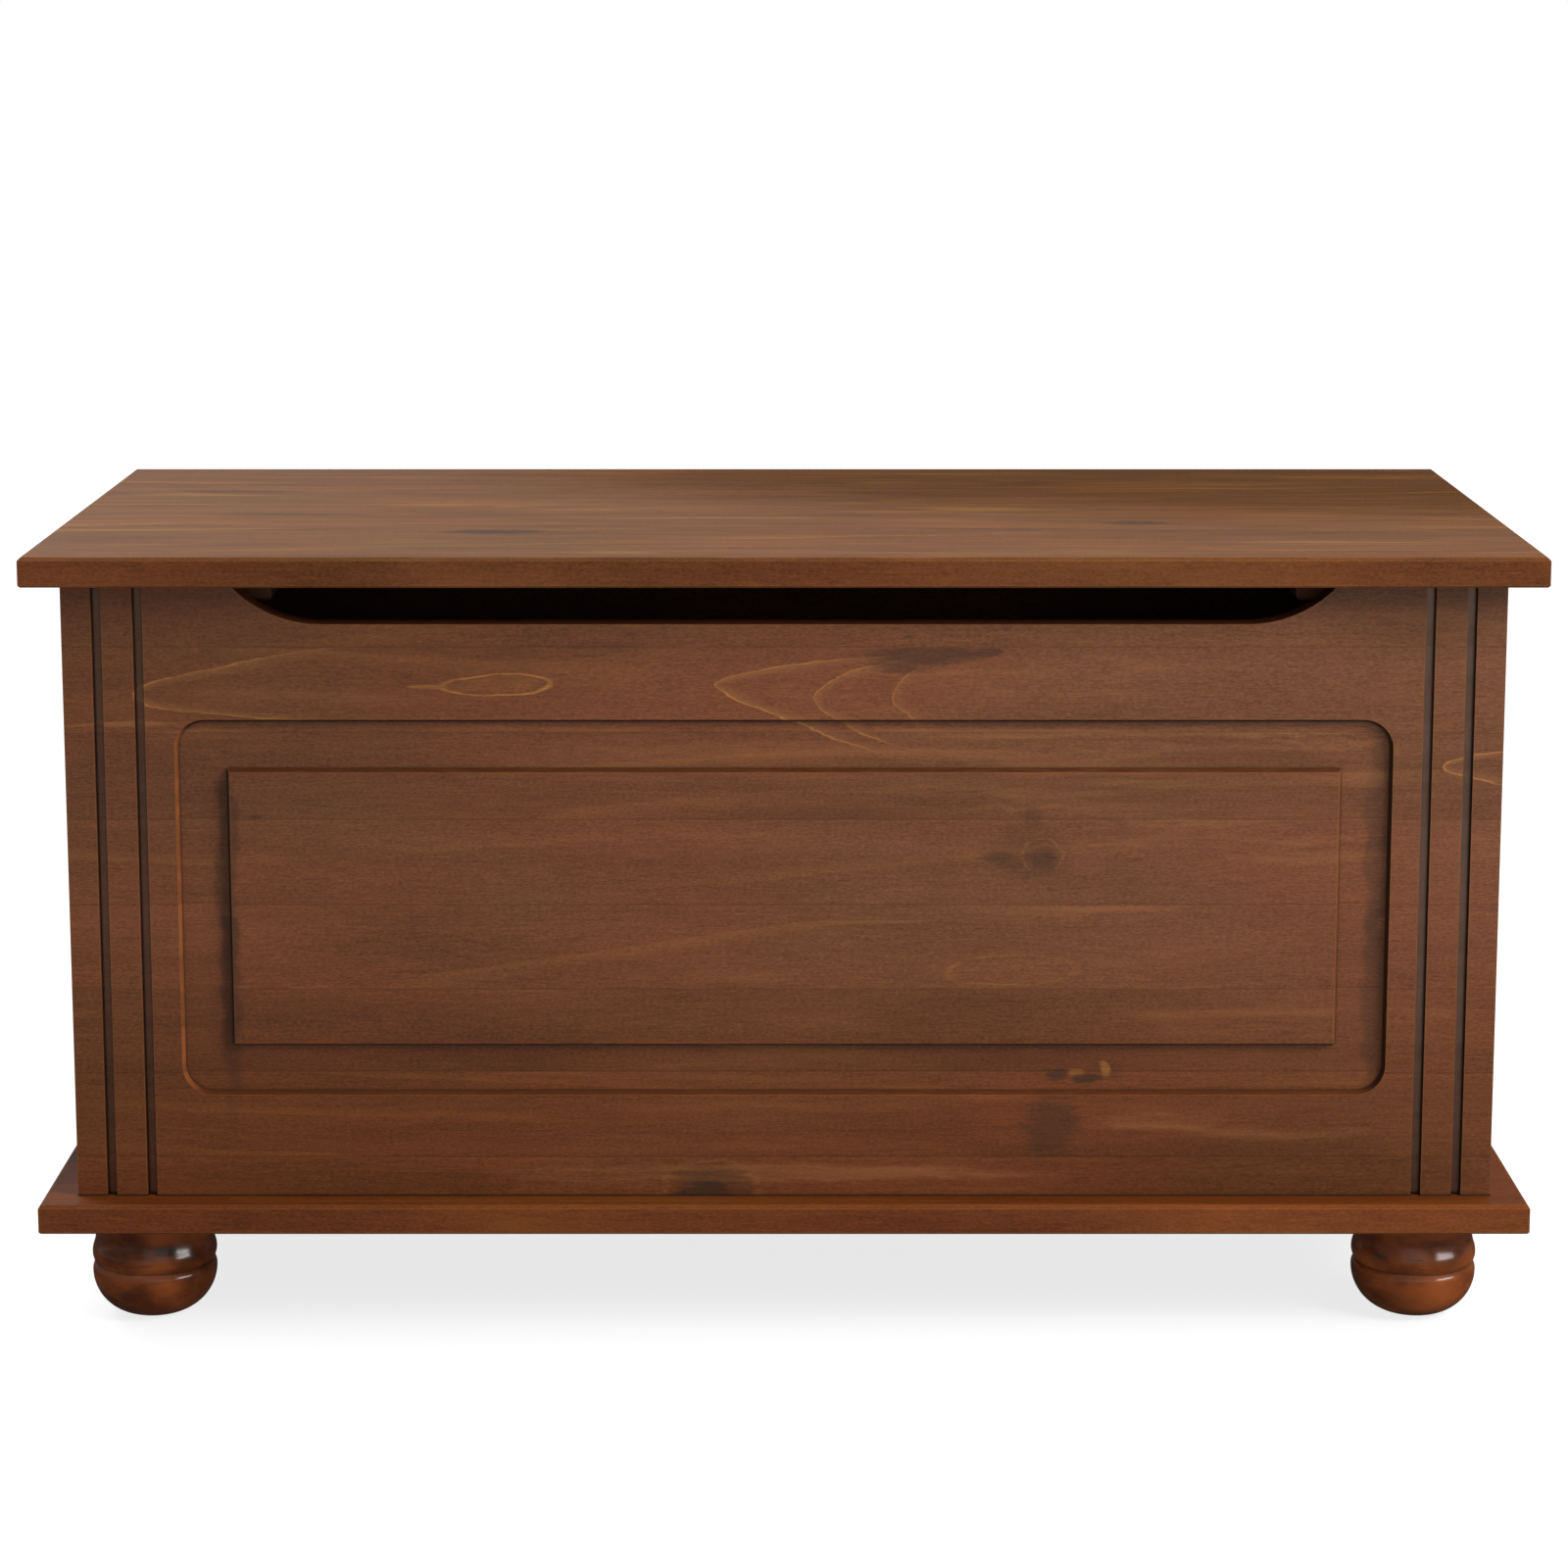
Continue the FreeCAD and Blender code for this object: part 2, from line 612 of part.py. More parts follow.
def lid_panel():
    """The lid board, its underside at z = 0."""
    body = new_body("lid_panel")
    edge = new_sketch(body, "LidOutline", "XY_Plane")
    rectangle(edge, "0 - board_width / 2", "board_width / 2", "0 - board_depth / 2", "board_depth / 2")
    pad(body, edge, "lid_thickness")
    chamfer(body, "upper_chamfer", UP)
    chamfer(body, "under_chamfer", DOWN)
    places = [(f"{sign} * batten_x", y) for sign in (-1, 1) for y in batten_screw_y]
    holes = circles(new_sketch(body, "LidBattenScrews", "XY_Plane"), places,
                    HOLE.format("batten_screw_radius"))
    pocket(body, holes, "batten_screw_length - batten_thickness + hole_overrun", along_normal=True)
    places = [(f"{sign} * ({bracket_screw_x})", y) for sign in (-1, 1) for y in bracket_screw_y]
    holes = circles(new_sketch(body, "LidBracketScrews", "XY_Plane"), places,
                    HOLE.format("small_screw_radius"))
    pocket(body, holes, "small_screw_length - bracket_thickness + hole_overrun", along_normal=True)
    places = [
        (f"{sign} * hinge_x + {x}", "axis_z - lid_under + leaf_screw_rise")
        for sign in (-1, 1) for x in leaf_screw_x
    ]
    holes = circles(new_sketch(body, "LidLeafScrews", "XZ_Plane", "0 - board_depth / 2"), places,
                    HOLE.format("small_screw_radius"))
    pocket(body, holes, "small_screw_length - leaf_thickness + hole_overrun", along_normal=True)
    return place(body, y="board_y", z="lid_under")


def batten(name, side):
    """A cleat across the grain under the lid, its top at z = 0."""
    body = new_body(f"lid_batten_{name}")
    board = new_sketch(body, f"Batten_{name}", "XY_Plane")
    rectangle(board, "0 - batten_width / 2", "batten_width / 2",
              "batten_front - board_y", "batten_rear - board_y")
    pad(body, board, "batten_thickness", along_normal=False)
    chamfer(body, "batten_chamfer", DOWN)
    holes = new_sketch(body, f"BattenScrews_{name}", "XY_Plane", "0 - batten_thickness")
    circles(holes, [("0", y) for y in batten_screw_y], HOLE.format("batten_screw_radius"))
    drill(body, holes, HOLE.format("batten_screw_radius"), "batten_thickness", True,
          HOLE.format("batten_screw_head"))
    return place(body, x=f"{side} * batten_x", y="board_y", z="lid_under")


def hinge_leaf(label, side, rises):
    """One leaf with its knuckles, in place on the hinge axis; rises is True for the lid's leaf."""
    count = round(value("knuckle_count"))
    pitch = value("knuckle_pitch")
    barrel = value("knuckle_radius")
    gap = value("knuckle_gap")
    thick = value("leaf_thickness")
    length = value("hinge_length")
    tall = value("lid_leaf_height" if rises else "body_leaf_height")
    way = 1 if rises else -1
    front = 0 - barrel - value("barrel_gap")
    plate = Part.makeBox(length, thick, tall, FreeCAD.Vector(-length / 2, front, 0 if rises else -tall))
    bore = value("hinge_pin_radius + pivot_clearance / 2")
    across = FreeCAD.Vector(1, 0, 0)
    solids = []
    for index in range(count):
        start = index * pitch - length / 2
        own = (index % 2 == 1) == rises
        if own:
            low = start + (gap / 2 if index else 0)
            high = start + pitch - (gap / 2 if index < count - 1 else 0)
            knuckle = Part.makeCylinder(barrel, high - low, FreeCAD.Vector(low, 0, 0), across)
            strap = Part.makeBox(high - low, -front, thick, FreeCAD.Vector(low, front, 0))
            if not rises:
                strap.translate(FreeCAD.Vector(0, 0, -thick))
            solids += [knuckle, strap]
        else:
            notch = Part.makeBox(pitch + gap, 2 * barrel, 2 * (barrel + gap),
                                 FreeCAD.Vector(start - gap / 2, front, -barrel - gap))
            plate = plate.cut(notch)
    leaf = plate.multiFuse(solids)
    leaf = leaf.cut(Part.makeCylinder(bore, length, FreeCAD.Vector(-length / 2, 0, 0), across))
    rise = value("leaf_screw_rise" if rises else "leaf_screw_drop") * way
    wide = value(HOLE.format("small_screw_head"))
    narrow = value(HOLE.format("small_screw_radius"))
    taper = wide - narrow
    for x in leaf_screw_x:
        centre = FreeCAD.Vector(value(x), front, rise)
        leaf = leaf.cut(Part.makeCylinder(narrow, thick, centre, FreeCAD.Vector(0, 1, 0)))
        rim = centre + FreeCAD.Vector(0, thick, 0)
        leaf = leaf.cut(Part.makeCone(wide, narrow, taper, rim, FreeCAD.Vector(0, -1, 0)))
    leaf = leaf.removeSplitter()
    leaf.translate(FreeCAD.Vector(value(f"{side} * hinge_x"), value("axis_y"), value("axis_z")))
    return feature_of(label, leaf.Solids)


def hinge_pin(label, side):
    pin = doc.addObject("Part::Cylinder", label)
    pin.Label = label
    bind(pin, Radius="hinge_pin_radius", Height="hinge_length")
    return place(pin, x=f"{side} * hinge_x - hinge_length / 2", y="axis_y", z="axis_z",
                 turn_axis=(0, 1, 0), turn="90")


def stay_bracket(name, side):
    """An angle plate under the lid that carries the stay's pivot; its origin is on the pivot axis."""
    body = new_body(f"stay_bracket_{name}")
    drop = "(lid_under - stay_pivot_z)"
    web = new_sketch(body, f"BracketWeb_{name}", "YZ_Plane")
    half = "bracket_length / 2"
    outline(web, [
        (f"0 - {half}", f"{drop} - bracket_thickness"),
        ("0 - bracket_tip_radius", "0"),
        ("0", "0 - bracket_tip_radius"),
        ("bracket_tip_radius", "0"),
        (half, f"{drop} - bracket_thickness"),
        (half, drop),
        (f"0 - {half}", drop),
    ], {1: ("bracket_tip_radius", 1), 2: ("bracket_tip_radius", 1)})
    pad(body, web, "bracket_thickness", along_normal=side < 0)
    flange = new_sketch(body, f"BracketFlange_{name}", "XY_Plane", drop)
    near, far = "0", "bracket_thickness + bracket_width"
    left, right = (f"0 - ({far})", near) if side > 0 else (near, far)
    rectangle(flange, left, right, f"0 - {half}", half)
    pad(body, flange, "bracket_thickness", along_normal=False)
    eye = circles(new_sketch(body, f"BracketEye_{name}", "YZ_Plane"), [("0", "0")],
                  "stay_root_radius + pivot_clearance / 2")
    pocket(body, eye, "bracket_thickness", along_normal=side < 0)
    screws = new_sketch(body, f"BracketScrews_{name}", "XY_Plane", f"{drop} - bracket_thickness")
    middle = f"{-side} * (bracket_thickness + bracket_width / 2)"
    circles(screws, [(middle, f"{sign} * bracket_screw_pitch / 2") for sign in (-1, 1)],
            HOLE.format("small_screw_radius"))
    drill(body, screws, HOLE.format("small_screw_radius"), "bracket_thickness", True,
          HOLE.format("small_screw_head"))
    return place(body, x=f"{side} * bracket_outer_x", y="stay_pivot_y", z="stay_pivot_z")


def stay_arm(name, side):
    """The slotted arm, hung from its pivot at the origin and tilted back to the wall's pin."""
    body = new_body(f"stay_arm_{name}")
    plate = new_sketch(body, f"Arm_{name}", "YZ_Plane")
    end = "(stay_span_open + slot_clearance + stay_pin_radius)"
    obround(plate, "stay_half_width", "0", f"0 - {end}")
    pad(body, plate, "stay_thickness", along_normal=side < 0)
    slot = new_sketch(body, f"ArmSlot_{name}", "YZ_Plane")
    obround(slot, "stay_pin_radius + slot_clearance", "slot_clearance - stay_span_closed",
            "0 - stay_span_open - slot_clearance")
    pocket(body, slot, "stay_thickness", along_normal=side < 0)
    eye = circles(new_sketch(body, f"ArmEye_{name}", "YZ_Plane"), [("0", "0")],
                  "stay_pin_radius + pivot_clearance")
    pocket(body, eye, "stay_thickness", along_normal=side < 0)
    return place(body, x=f"{side} * stay_outer_x", y="stay_pivot_y", z="stay_pivot_z",
                 turn_axis=(1, 0, 0), turn="stay_tilt")


def obround(sketch, radius, top, bottom):
    """A slot outline about the sketch's vertical axis, from one end's centre to the other's."""
    return outline(sketch, [
        (f"0 - ({radius})", bottom),
        ("0", f"{bottom} - ({radius})"),
        (radius, bottom),
        (radius, top),
        ("0", f"{top} + ({radius})"),
        (f"0 - ({radius})", top),
    ], {index: (radius, 1) for index in (0, 1, 3, 4)})


def stay_pin(name, side):
    """The shoulder pin that the slot rides on: thread, collar, shank and head, from the wall inwards."""
    root = value("stay_pin_in_wall")
    collar = value("stay_wall_gap - plate_gap")
    shank = value("stay_wall_gap + stay_thickness + plate_gap")
    pin = turned([
        (0, -root),
        (value("stay_root_radius"), -root),
        (value("stay_root_radius"), 0),
        (value("stay_head_radius"), 0),
        (value("stay_head_radius"), collar),
        (value("stay_pin_radius"), collar),
        (value("stay_pin_radius"), shank),
        (value("stay_head_radius"), shank),
        (value("stay_head_radius"), shank + value("stay_head") / 2),
        (value("stay_pin_radius"), shank + value("stay_head")),
        (0, shank + value("stay_head")),
    ])
    return group(f"stay_pin_{name}", pin, [(f"{side} * inner_x", "stay_pin_y", "stay_pin_z")], (-side, 0, 0))


def stay_rivet(name, side):
    """The pivot through arm and bracket, with a head on the arm and one on the bracket."""
    flange = value("plate_gap")
    head = value("stay_wall_gap - 2 * plate_gap")
    shoulder = value("stay_thickness + plate_gap")
    through = value("bracket_thickness")
    rivet = turned([
        (0, -flange - head),
        (value("stay_pin_radius"), -flange - head),
        (value("stay_head_radius"), -flange - head / 2),
        (value("stay_head_radius"), -flange),
        (value("stay_pin_radius"), -flange),
        (value("stay_pin_radius"), shoulder),
        (value("stay_root_radius"), shoulder),
        (value("stay_root_radius"), shoulder + through),
        (value("stay_head_radius"), shoulder + through),
        (value("stay_pin_radius"), shoulder + through + value("stay_head")),
        (0, shoulder + through + value("stay_head")),
    ])
    return group(f"stay_rivet_{name}", rivet,
                 [(f"{side} * stay_outer_x", "stay_pivot_y", "stay_pivot_z")], (-side, 0, 0))


def foot_fittings():
    """Hanger bolts out of the feet, and the threaded inserts that take them in the base board."""
    radius = value("foot_bolt_radius")
    low = -value("foot_bolt_in_foot")
    high = value("foot_bolt_in_base")
    bevel = value("foot_bolt_bevel")
    bolt = turned([
        (0, low),
        (radius / 2, low),
        (radius, low + radius),
        (radius, high - bevel),
        (radius - bevel, high),
        (0, high),
    ])
    places = [(x, f"{y} + board_y", "foot_height") for x, y in foot_places]
    group("foot_bolts", bolt, places, (0, 0, 1))
    inner = value("foot_bolt_radius + fastener_clearance")
    outer = value("insert_radius")
    long = value("insert_length")
    insert = turned([(inner, 0), (outer, 0), (outer, long), (inner, long)])
    group("foot_inserts", insert, places, (0, 0, 1))


def corner_fittings():
    """Cam bolts, cam nuts and dowels of the four corners."""
    joints = [("front_inner_y", 1), ("back_inner_y", -1)]
    bolt_radius = value("cam_bolt_radius")
    shank = value("cam_bolt_shank_radius")
    neck = value("cam_bolt_neck_radius")
    head = value("cam_bolt_head_radius")
    reach = value("cam_reach + cam_bolt_head")
    start = -value("cam_bolt_in_wall")
    bolt = turned([
        (0, start),
        (bolt_radius, start),
        (bolt_radius, 0),
        (shank, 0),
        (shank, reach - 2 * value("cam_bolt_head")),
        (neck, reach - 2 * value("cam_bolt_head")),
        (neck, reach - value("cam_bolt_head")),
        (head, reach - value("cam_bolt_head")),
        (head, reach),
        (0, reach),
    ])
    dowel_radius = value("dowel_radius")
    tip = value("dowel_bevel")
    low = -value("dowel_in_wall")
    high = value("dowel_in_side")
    dowel = turned([
        (0, low),
        (dowel_radius - tip, low),
        (dowel_radius, low + tip),
        (dowel_radius, high - tip),
        (dowel_radius - tip, high),
        (0, high),
    ])
    bolts = []
    dowels = []
    nuts = []
    for joint_y, way in joints:
        turn = FreeCAD.Rotation(UP, FreeCAD.Vector(0, way, 0))
        for side in (LEFT, RIGHT):
            for kept, shape, heights in ((bolts, bolt, cam_heights), (dowels, dowel, dowel_heights)):
                for height in heights:
                    spot = FreeCAD.Vector(value(f"{side} * wall_middle_x"), value(joint_y),
                                          value(f"wall_base + {height}"))
                    copy = shape.copy()
                    copy.Placement = FreeCAD.Placement(spot, turn)
                    kept.append(copy)
            for height in cam_heights:
                nuts.append(cam_nut(side, way, joint_y, height))
    feature_of("cam_bolts", bolts)
    feature_of("corner_dowels", dowels)
    feature_of("cam_nuts", nuts)


def cam_nut(side, way, joint_y, height):
    """A cam barrel in the inner face of a side wall, bored for the bolt's head, with a cross slot."""
    radius = value("cam_radius")
    long = value("cam_length")
    out = FreeCAD.Vector(side, 0, 0)
    middle_y = value(joint_y) + way * value("cam_reach")
    level = value(f"wall_base + {height}")
    face = FreeCAD.Vector(side * value("inner_x"), middle_y, level)
    nut = Part.makeCylinder(radius, long, face, out)
    entry = radius + value("hole_overrun")
    bore_start = FreeCAD.Vector(side * value("wall_middle_x"), middle_y - way * entry, level)
    bore_long = entry + value("cam_bolt_head + hole_overrun")
    nut = nut.cut(Part.makeCylinder(value("cam_bore_radius"), bore_long, bore_start,
                                    FreeCAD.Vector(0, way, 0)))
    deep = value("cam_slot_depth")
    arm = value("cam_slot_length / 2")
    thin = value("cam_slot_width / 2")
    for half_y, half_z in ((arm, thin), (thin, arm)):
        corner = FreeCAD.Vector(min(face.x, face.x + side * deep), middle_y - half_y, level - half_z)
        nut = nut.cut(Part.makeBox(deep, 2 * half_y, 2 * half_z, corner))
    return nut


def screws():
    long_screw = countersunk_screw("base_screw_radius", "base_screw_head", "base_screw_length")
    places = [(x, f"{y} + board_y", "foot_height") for x in long_screw_x for y in (front_wall_y, back_wall_y)]
    places += [(f"{sign} * wall_middle_x", f"{y} + board_y", "foot_height")
               for sign in (-1, 1) for y in side_screw_y]
    group("base_screws", long_screw, places, (0, 0, 1))

    batten_screw = countersunk_screw("batten_screw_radius", "batten_screw_head", "batten_screw_length")
    places = [(f"{sign} * batten_x", f"{y} + board_y", "lid_under - batten_thickness")
              for sign in (-1, 1) for y in batten_screw_y]
    group("batten_screws", batten_screw, places, (0, 0, 1))

    small = countersunk_screw("small_screw_radius", "small_screw_head", "small_screw_length")
    places = [(f"{sign} * ({bracket_screw_x})", f"{y} + board_y", "lid_under - bracket_thickness")
              for sign in (-1, 1) for y in bracket_screw_y]
    group("bracket_screws", small, places, (0, 0, 1))
    for name, height in (("lid", "axis_z + leaf_screw_rise"), ("body", "axis_z - leaf_screw_drop")):
        places = [(f"{sign} * hinge_x + {x}", "rear_y + leaf_thickness", height)
                  for sign in (-1, 1) for x in leaf_screw_x]
        group(f"{name}_leaf_screws", small, places, (0, -1, 0))


def lid_dots():
    """Soft dots on the walls' upper edges that the closed lid rests on."""
    dot = turned([
        (0, 0),
        (value("dot_radius"), 0),
        (value("dot_radius"), value("lid_gap") / 2),
        (value("dot_radius - lid_gap / 2"), value("lid_gap")),
        (0, value("lid_gap")),
    ])
    front = ("body_width / 2 - dot_inset", "front_panel_y + wall_thickness / 2")
    side = ("wall_middle_x", "front_inner_y + side_dot_share * side_length")
    places = [(f"{sign} * ({x})", y, "wall_top") for x, y in (front, side) for sign in (-1, 1)]
    group("lid_dots", dot, places, (0, 0, 1))


def write(folder):
    """Checks every object and every sub-part, then writes one STEP file for each."""
    doc.recompute()
    for item in doc.Objects:
        if "Invalid" in item.State or "Error" in item.State:
            raise RuntimeError(f"{item.Label}: {item.State}")
    for part in parts:
        if part.Shape.isNull() or not part.Shape.isValid() or not part.Shape.Solids:
            raise RuntimeError(f"{part.Label} is not a sound solid")
    os.makedirs(folder, exist_ok=True)
    for part in parts:
        part.Shape.exportStep(os.path.join(folder, f"{part.Label}.step"))


base_board()
front_panel()
back_panel()
for side_name, side_sign in SIDES.items():
    side_panel(side_name, side_sign)
    for end_name, end_sign in ENDS.items():
        foot(f"foot_{end_name}_{side_name}", f"{side_sign} * (board_width / 2 - foot_inset)",
             f"{end_sign} * (board_depth / 2 - foot_inset)")
foot_fittings()
corner_fittings()
lid_dots()
lid_panel()
for side_name, side_sign in SIDES.items():
    batten(side_name, side_sign)
    hinge_leaf(f"hinge_{side_name}_body_leaf", side_sign, rises=False)
    hinge_leaf(f"hinge_{side_name}_lid_leaf", side_sign, rises=True)
    hinge_pin(f"hinge_{side_name}_pin", side_sign)
    stay_bracket(side_name, side_sign)
    stay_arm(side_name, side_sign)
    stay_pin(side_name, side_sign)
    stay_rivet(side_name, side_sign)
screws()
write("parts")
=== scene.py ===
import math
from typing import NamedTuple

import bpy
from bpy.props import FloatProperty, FloatVectorProperty, PointerProperty
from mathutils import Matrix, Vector


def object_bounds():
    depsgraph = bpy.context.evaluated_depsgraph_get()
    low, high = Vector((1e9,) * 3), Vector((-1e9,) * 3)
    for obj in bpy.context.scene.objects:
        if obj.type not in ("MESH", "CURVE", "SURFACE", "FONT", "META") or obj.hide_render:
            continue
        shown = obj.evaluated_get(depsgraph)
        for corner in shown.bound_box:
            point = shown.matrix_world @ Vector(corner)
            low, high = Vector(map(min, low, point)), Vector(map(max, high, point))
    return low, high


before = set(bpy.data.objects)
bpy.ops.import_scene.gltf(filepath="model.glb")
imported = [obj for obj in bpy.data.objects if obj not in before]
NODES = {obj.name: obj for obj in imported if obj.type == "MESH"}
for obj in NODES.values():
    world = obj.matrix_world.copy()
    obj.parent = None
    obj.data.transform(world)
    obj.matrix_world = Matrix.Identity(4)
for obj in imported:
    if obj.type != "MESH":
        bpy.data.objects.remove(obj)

CAD_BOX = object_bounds()

bl_info = {
    "name": "Stained Pine Storage Chest",
    "version": (1, 0, 0),
    "blender": (4, 5, 0),
    "location": "View3D > Sidebar > Chest",
    "description": "Finishes for a stained pine storage chest, with its studio and camera",
    "category": "Object",
}

# Which object axes run along the grain, across it and through the board.
ALONG_X_UP_Z = ("X", "Z", "Y")
ALONG_X_BACK_Y = ("X", "Y", "Z")
ALONG_Y_UP_Z = ("Y", "Z", "X")
ALONG_Y_ACROSS_X = ("Y", "X", "Z")

# Waves per metre of each noise, along the grain, across it and through the board.
SWAY_WAVES = (14, 55, 20)
WOBBLE_WAVES = (95, 420, 200)
EVEN_WOBBLE_WAVES = (60, 90, 60)
CLOUD_WAVES = (5.5, 21, 12)
STREAK_WAVES = (5, 75, 40)
FIBRE_WAVES = (45, 900, 600)
SPECK_WAVES = (420, 1300, 1300)
HUE_WAVES = (4.5, 9, 7)
GROWTH_WAVES = (0.9, 10, 6)
PATCH_WAVES = (4, 22, 9)
THREAD_WAVES = (11, 190, 140)

# How much each noise, and each stave's own draw, moves the stain between light and dark.
CLOUD_TONE = 0.90
STREAK_TONE = 0.62
STAVE_TONE = 0.20
FIBRE_TONE = 0.82
SPECK_TONE = 1.45

# How far apart in the noise two staves can lie, and the seam between them as a share of a stave.
STAVE_SPREAD = (7, 7, 7)
SEAM_SHARE = 0.016

# Flames: the height that counts as their nose, and how far their lines waver, in metres.
NOSE_SIZE = 0.0002
FLAME_WOBBLE = 0.0022

# Rings on sawn ends: the heart's depth behind the board, their width and how far they waver.
HEART_DEPTH = 0.035
RING_WIDTH = 0.0031
RING_WOBBLE = 0.0012

# The lid's top: shares of its dark and pale threads and of the clear coat over it.
DARK_THREAD = 0.34
PALE_THREAD = 0.26
TOP_COAT = 0.55

# The front board's routing: share of stain in the walls, where the sunk border and the inner
# flutes end and begin from the middle, the depth of the flutes' floors, and the shares of painted
# light on the floors of the left and the right ones.
ROUTED_SOAK = 0.95
BORDER_END = (0.3752, 0.3750)
FLUTES_BEYOND = 0.372
FLUTES_BEHIND = -0.1912
FLUTE_LIGHT_SHARES = (0.29, 0.84)

# The studio: the floor's half width, where the shadow painted on it ends beside and before the
# chest, the diffuse share that shows the chest's real shadow over it, and the camera's sensor in
# millimetres.
FLOOR_REACH = 14.0
SHADE_WIDTH = (0.40, 0.48)
SHADE_DEPTH = (0.18, 0.32)
VEIL = (0.19, 0.19, 0.19)
WHITE = (1, 1, 1)
SENSOR_WIDTH = 36.0

ORIGIN = (0.0, 0.0, 0.0)
NO_LIMIT = 9.0


class Mark(NamedTuple):
    """An oval on a board, in metres along and across its grain, with a core and a rim as shares.

    Nothing of it shows above the upper limit, such as the seam of its stave.
    """

    centre_along: float
    centre_across: float
    half_length: float
    half_height: float
    core: float
    rim: float = 0.0
    upper_limit: float = NO_LIMIT


class Flame(NamedTuple):
    """A pointed arch of late wood, in metres: its nose and how its two branches open."""

    nose_along: float
    nose_across: float
    reach: float
    upper_spread: float
    upper_bend: float
    lower_spread: float
    lower_bend: float
    fade: float
    strength: float


class Lamp(NamedTuple):
    """A soft lamp, the setting that holds its power, and the kind of ray that misses it."""

    name: str
    place: tuple
    size: tuple
    power: str
    hidden: str = ""


LAMPS = (
    Lamp("Key lamp", (2.15, -1.40, 1.75), (1.3, 1.1), "key_power", "visible_glossy"),
    Lamp("Shine lamp", (2.0, -1.35, 0.50), (1.2, 0.4), "shine_power", "visible_diffuse"),
    Lamp("Fill lamp", (0.2, -2.9, 0.6), (2.4, 1.0), "fill_power"),
    Lamp("Rear lamp", (-1.7, 0.9, 1.7), (1.2, 0.8), "rear_power"),
)

# Marks of the front board, measured from the chest's middle plane and up from the floor.
FRONT_FLAMES = [
    Flame(-0.041, 0.3996, 0.075, 0.0164, 2.1, 0.0333, 1.22, 0.135, 1.0),
    Flame(0.021, 0.3935, 0.0336, 0.0192, 2.3, 0.0263, 2.3, 0.07, 0.8),
    Flame(0.0629, 0.3926, 0.0089, 0.0122, 1.7, 0.0122, 1.7, 0.03, 0.55),
    Flame(-0.3899, 0.3942, 0.0744, 0.0209, 1.62, 0.013, 2.5, 0.15, 0.75),
    Flame(0.3955, 0.3516, 0.033, 0.0081, 2.67, 0.0107, 1.43, 0.06, 0.8),
]

# The seam of their stave cuts off the knots in the top one.
TOP_SEAM = 0.4226
FRONT_KNOTS = [
    Mark(0.085, 0.4195, 0.038, 0.007, 0.62, upper_limit=TOP_SEAM),
    Mark(0.07, 0.415, 0.02, 0.01, 0.48, upper_limit=TOP_SEAM),
    Mark(0.1205, 0.42, 0.012, 0.0034, 0.62, upper_limit=TOP_SEAM),
    Mark(0.0737, 0.4294, 0.0035, 0.0014, 0.55),
    Mark(-0.105, 0.4235, 0.026, 0.004, 0.22),
    Mark(0.156, 0.2965, 0.0115, 0.0105, 0.58, rim=0.5),
    Mark(0.147, 0.296, 0.028, 0.017, 0.32),
    Mark(0.129, 0.2958, 0.013, 0.0044, 0.55),
    Mark(0.148, 0.3199, 0.0065, 0.0085, 0.34),
    Mark(0.164, 0.1592, 0.0075, 0.0036, 0.72),
    Mark(0.183, 0.1572, 0.011, 0.003, 0.72),
    Mark(0.196, 0.162, 0.011, 0.006, 0.3),
    Mark(-0.048, 0.087, 0.02, 0.0095, 0.92),
    Mark(-0.044, 0.088, 0.029, 0.018, 0.48, rim=0.4),
    Mark(0.1617, 0.13, 0.02, 0.021, 0.5),
    Mark(-0.316, 0.3205, 0.0045, 0.0012, 0.45),
    Mark(0.208, 0.1455, 0.005, 0.0012, 0.35),
]

# Two eyes, the tail of one, and hard patches.
FRONT_GOLD = [
    Mark(-0.1693, 0.4007, 0.0285, 0.006, 0.16, rim=0.9),
    Mark(-0.208, 0.4009, 0.014, 0.0014, 0.75),
    Mark(0.1365, 0.2258, 0.036, 0.008, 0.05, rim=0.22),
    Mark(0.194, 0.1635, 0.004, 0.006, 0.62),
    Mark(0.1752, 0.1601, 0.006, 0.0026, 0.55),
]

# Soft paler streaks; the last two are wide ones that paint light on the upper field.
FRONT_PALE_AND_LIT = [
    Mark(0.26, 0.305, 0.08, 0.005, 0.4),
    Mark(0.305, 0.296, 0.055, 0.0045, 0.25),
    Mark(0.056, 0.2556, 0.032, 0.0014, 0.45),
    Mark(0.23, 0.131, 0.045, 0.006, 0.42),
    Mark(0.3, 0.125, 0.06, 0.005, 0.25),
    Mark(-0.01, 0.099, 0.18, 0.006, 0.34),
    Mark(0.17, 0.3705, 0.18, 0.004, 0.4),
    Mark(-0.34, 0.369, 0.045, 0.004, 0.3),
    Mark(-0.395, 0.376, 0.035, 0.002, 0.45),
    Mark(0.095, 0.358, 0.13, 0.003, 0.3),
    Mark(0.25, 0.342, 0.17, 0.03, 0.34),
    Mark(0.0, 0.348, 0.18, 0.022, 0.18),
]

# Painted shade under the lid's overhang and low down next to the base board, at both ends.
FRONT_PAINTED_SHADE = [
    Mark(-0.3, 0.435, 0.22, 0.08, 0.34),
    Mark(0.39, 0.455, 0.09, 0.04, 0.35),
    Mark(0.29, 0.095, 0.18, 0.033, 0.4),
    Mark(-0.3, 0.088, 0.16, 0.02, 0.25),
]

# Painted shadows on the sunk floor, left of the routed walls that face left.
FRONT_PAINTED_SHADOWS = [
    Mark(-0.3333, 0.3, 0.0075, 0.09, 0.4, upper_limit=0.3425),
    Mark(-0.3333, 0.218, 0.0075, 0.09, 0.4, upper_limit=0.259),
    Mark(0.3542, 0.305, 0.007, 0.08, 0.36, upper_limit=0.364),
    Mark(0.3542, 0.22, 0.007, 0.08, 0.36, upper_limit=0.2625),
]
